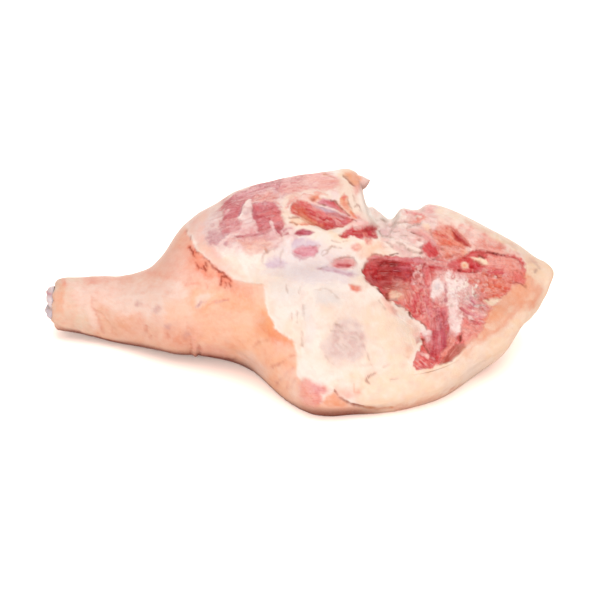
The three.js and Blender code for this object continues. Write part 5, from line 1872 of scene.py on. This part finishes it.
def bone_points(radius, height, angle):
    """The stub in the leg's frame, its face towards -X: rings of a radius at a height. Two grooves
    part the face into lobes, the lowest is worn to a stump, and noise makes rim and face rough."""
    flat = np.stack([0 * angle, np.sin(angle), np.cos(angle)], axis=-1)
    out = smooth(height, FLANGE_START, FLANGE_HEIGHT)[:, None]
    wide = radius[:, None] * (1 + out * layered(flat, RIM_WAVES))
    y = wide * np.sin(angle)
    z = wide * np.cos(angle) + FLANGE_RISE * out
    groove = sum(depth * bell(z, middle, width) for middle, width, depth in GROOVES)
    rough = layered(np.stack([0 * y, y, z], axis=-1), BONE_ROUGH)
    raised = np.clip(height[:, None] / BONE_PROUD, 0, 1)
    stump = raised * STUMP_DEPTH * (1 - smooth(z, *STUMP_EDGE))
    proud = height[:, None] + raised * (rough - groove) - stump
    return (hock_middle + np.stack([-proud, y, z], axis=-1)) * MM


bone_rings = bone_points(bone_radius, bone_height, bone_angle)
bone_poles = np.array([
    (hock_middle + [BONE_DEPTH, 0, 0]) * MM,
    bone_rings[-1].mean(axis=0),
])
bone = ring_piece("bone_end", bone_rings, bone_poles)
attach(bone, "root")
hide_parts("shank_bone")
print("bone_end:", len(bone.data.polygons), "faces")

# %% [markdown]
# ## Tones of the gristle
# The gristle is bluish at the top and cream on the stump below. Its grooves are grey, a purple line
# lies under the rim, and a slow noise shifts where one tone meets the next.

# %% Paint the bone end
GRISTLE_NOISE, GRISTLE_SHIFT = (0.006, 24), 3
GRISTLE_LIGHT = {"Subsurface Weight": 0.1, "Subsurface Scale": 0.004, "Specular IOR Level": SHINE}

bone_places = np.concatenate([bone_rings.reshape(-1, 3), bone_poles])
up = bone_places[:, 2] / MM - hock_middle[2]
cloud = noise(bone_places, *GRISTLE_NOISE)
shift = GRISTLE_SHIFT * cloud
bone_tone = np.broadcast_to(seen(BLUE_GRISTLE), bone_places.shape).copy()
for tone, weight in (
    (COOL_FAT, smooth(-up + shift, 8, 14)),
    (BLUE_MEMBRANE, smooth(up + shift, 3, 10)),
    (PURPLE_LEAN, 0.6 * bell(up, 22, 2)),
    (GREY_SCRATCH, 0.75 * bell(up, 8, 2.5) + 0.5 * bell(up, -11, 2.5)),
    (GREY_SINEW, 0.5 * smooth(cloud, 0.1, 0.5)),
):
    bone_tone += weight[:, None] * (seen(tone) - bone_tone)
add_tone(bone, as_paint(bone_tone))

gristle, tree, shader = new_material("gristle")
place = tree.nodes.new("ShaderNodeTexCoord").outputs["Object"]
fleck = noise_node(tree, place, 260, 4)
grit = noise_node(tree, place, 600, 3)
flecked = step_node(tree, fleck, 0.58, 0.74, 0, 0.12)
colour = tint_node(tree, field_node(tree, "tone", "Color"), MAUVE_LEAN, flecked)
tree.links.new(colour, shader.inputs["Base Color"])
tree.links.new(step_node(tree, grit, 0.3, 0.7, 0.3, 0.45), shader.inputs["Roughness"])
bump_node(tree, grit, 0.5, 0.0006, shader)
set_sockets(shader, GRISTLE_LIGHT)
bone.data.materials.append(gristle)
print("bone finish:", len(tree.nodes), "nodes")

# %% [markdown]
# ## Floor and light
# The leg lies on a white sweep in a bright, soft light, so almost no shadow shows but the one it
# rests in. Broad panels and a bright world give that, and the display is left
# without a film curve, so that a tone comes out as it was painted.

# %% Set the stage
FLOOR_HALF = 6.0
FLOOR_FINISH = {"Base Color": (0.96, 0.83, 0.77, 1), "Roughness": 0.9}
WORLD_LIGHT = {"Color": (1, 0.88, 0.80, 1), "Strength": 1.19}
# Each panel: place in metres, side in metres and watts.
PANELS = {
    "top_panel": ((0.2, -0.5, 3.0), 3.0, 95),
    "front_panel": ((-0.2, -3.2, 1.2), 2.4, 135),
    "back_panel": ((0.2, 3.0, 1.6), 2.2, 56),
}

floor_mesh = bpy.data.meshes.new("floor")
floor_corners = FLOOR_HALF * np.array([(-1, -1, 0), (1, -1, 0), (1, 1, 0), (-1, 1, 0)])
floor_mesh.from_pydata(floor_corners.tolist(), [], [(0, 1, 2, 3)])
floor = bpy.data.objects.new("floor", floor_mesh)
bpy.context.scene.collection.objects.link(floor)
white, tree, shader = new_material("white_sweep")
set_sockets(shader, FLOOR_FINISH)
floor.data.materials.append(white)

world = bpy.data.worlds.new("studio")
world.use_nodes = True
set_sockets(world.node_tree.nodes["Background"], WORLD_LIGHT)
bpy.context.scene.world = world
bpy.context.scene.view_settings.view_transform = "Standard"


def lamp(name, location, size, watts):
    """A square soft box at a place, turned to face the leg."""
    data = bpy.data.lights.new(name, "AREA")
    data.size = size
    data.energy = watts
    light = bpy.data.objects.new(name, data)
    toward = CAMERA_TARGET - np.array(location)
    light.location = location
    light.rotation_euler = (
        math.acos(-toward[2] / np.linalg.norm(toward)),
        0,
        math.atan2(toward[1], toward[0]) - math.pi / 2,
    )
    bpy.context.scene.collection.objects.link(light)


for name, panel in PANELS.items():
    lamp(name, *panel)
print("panels:", list(PANELS))
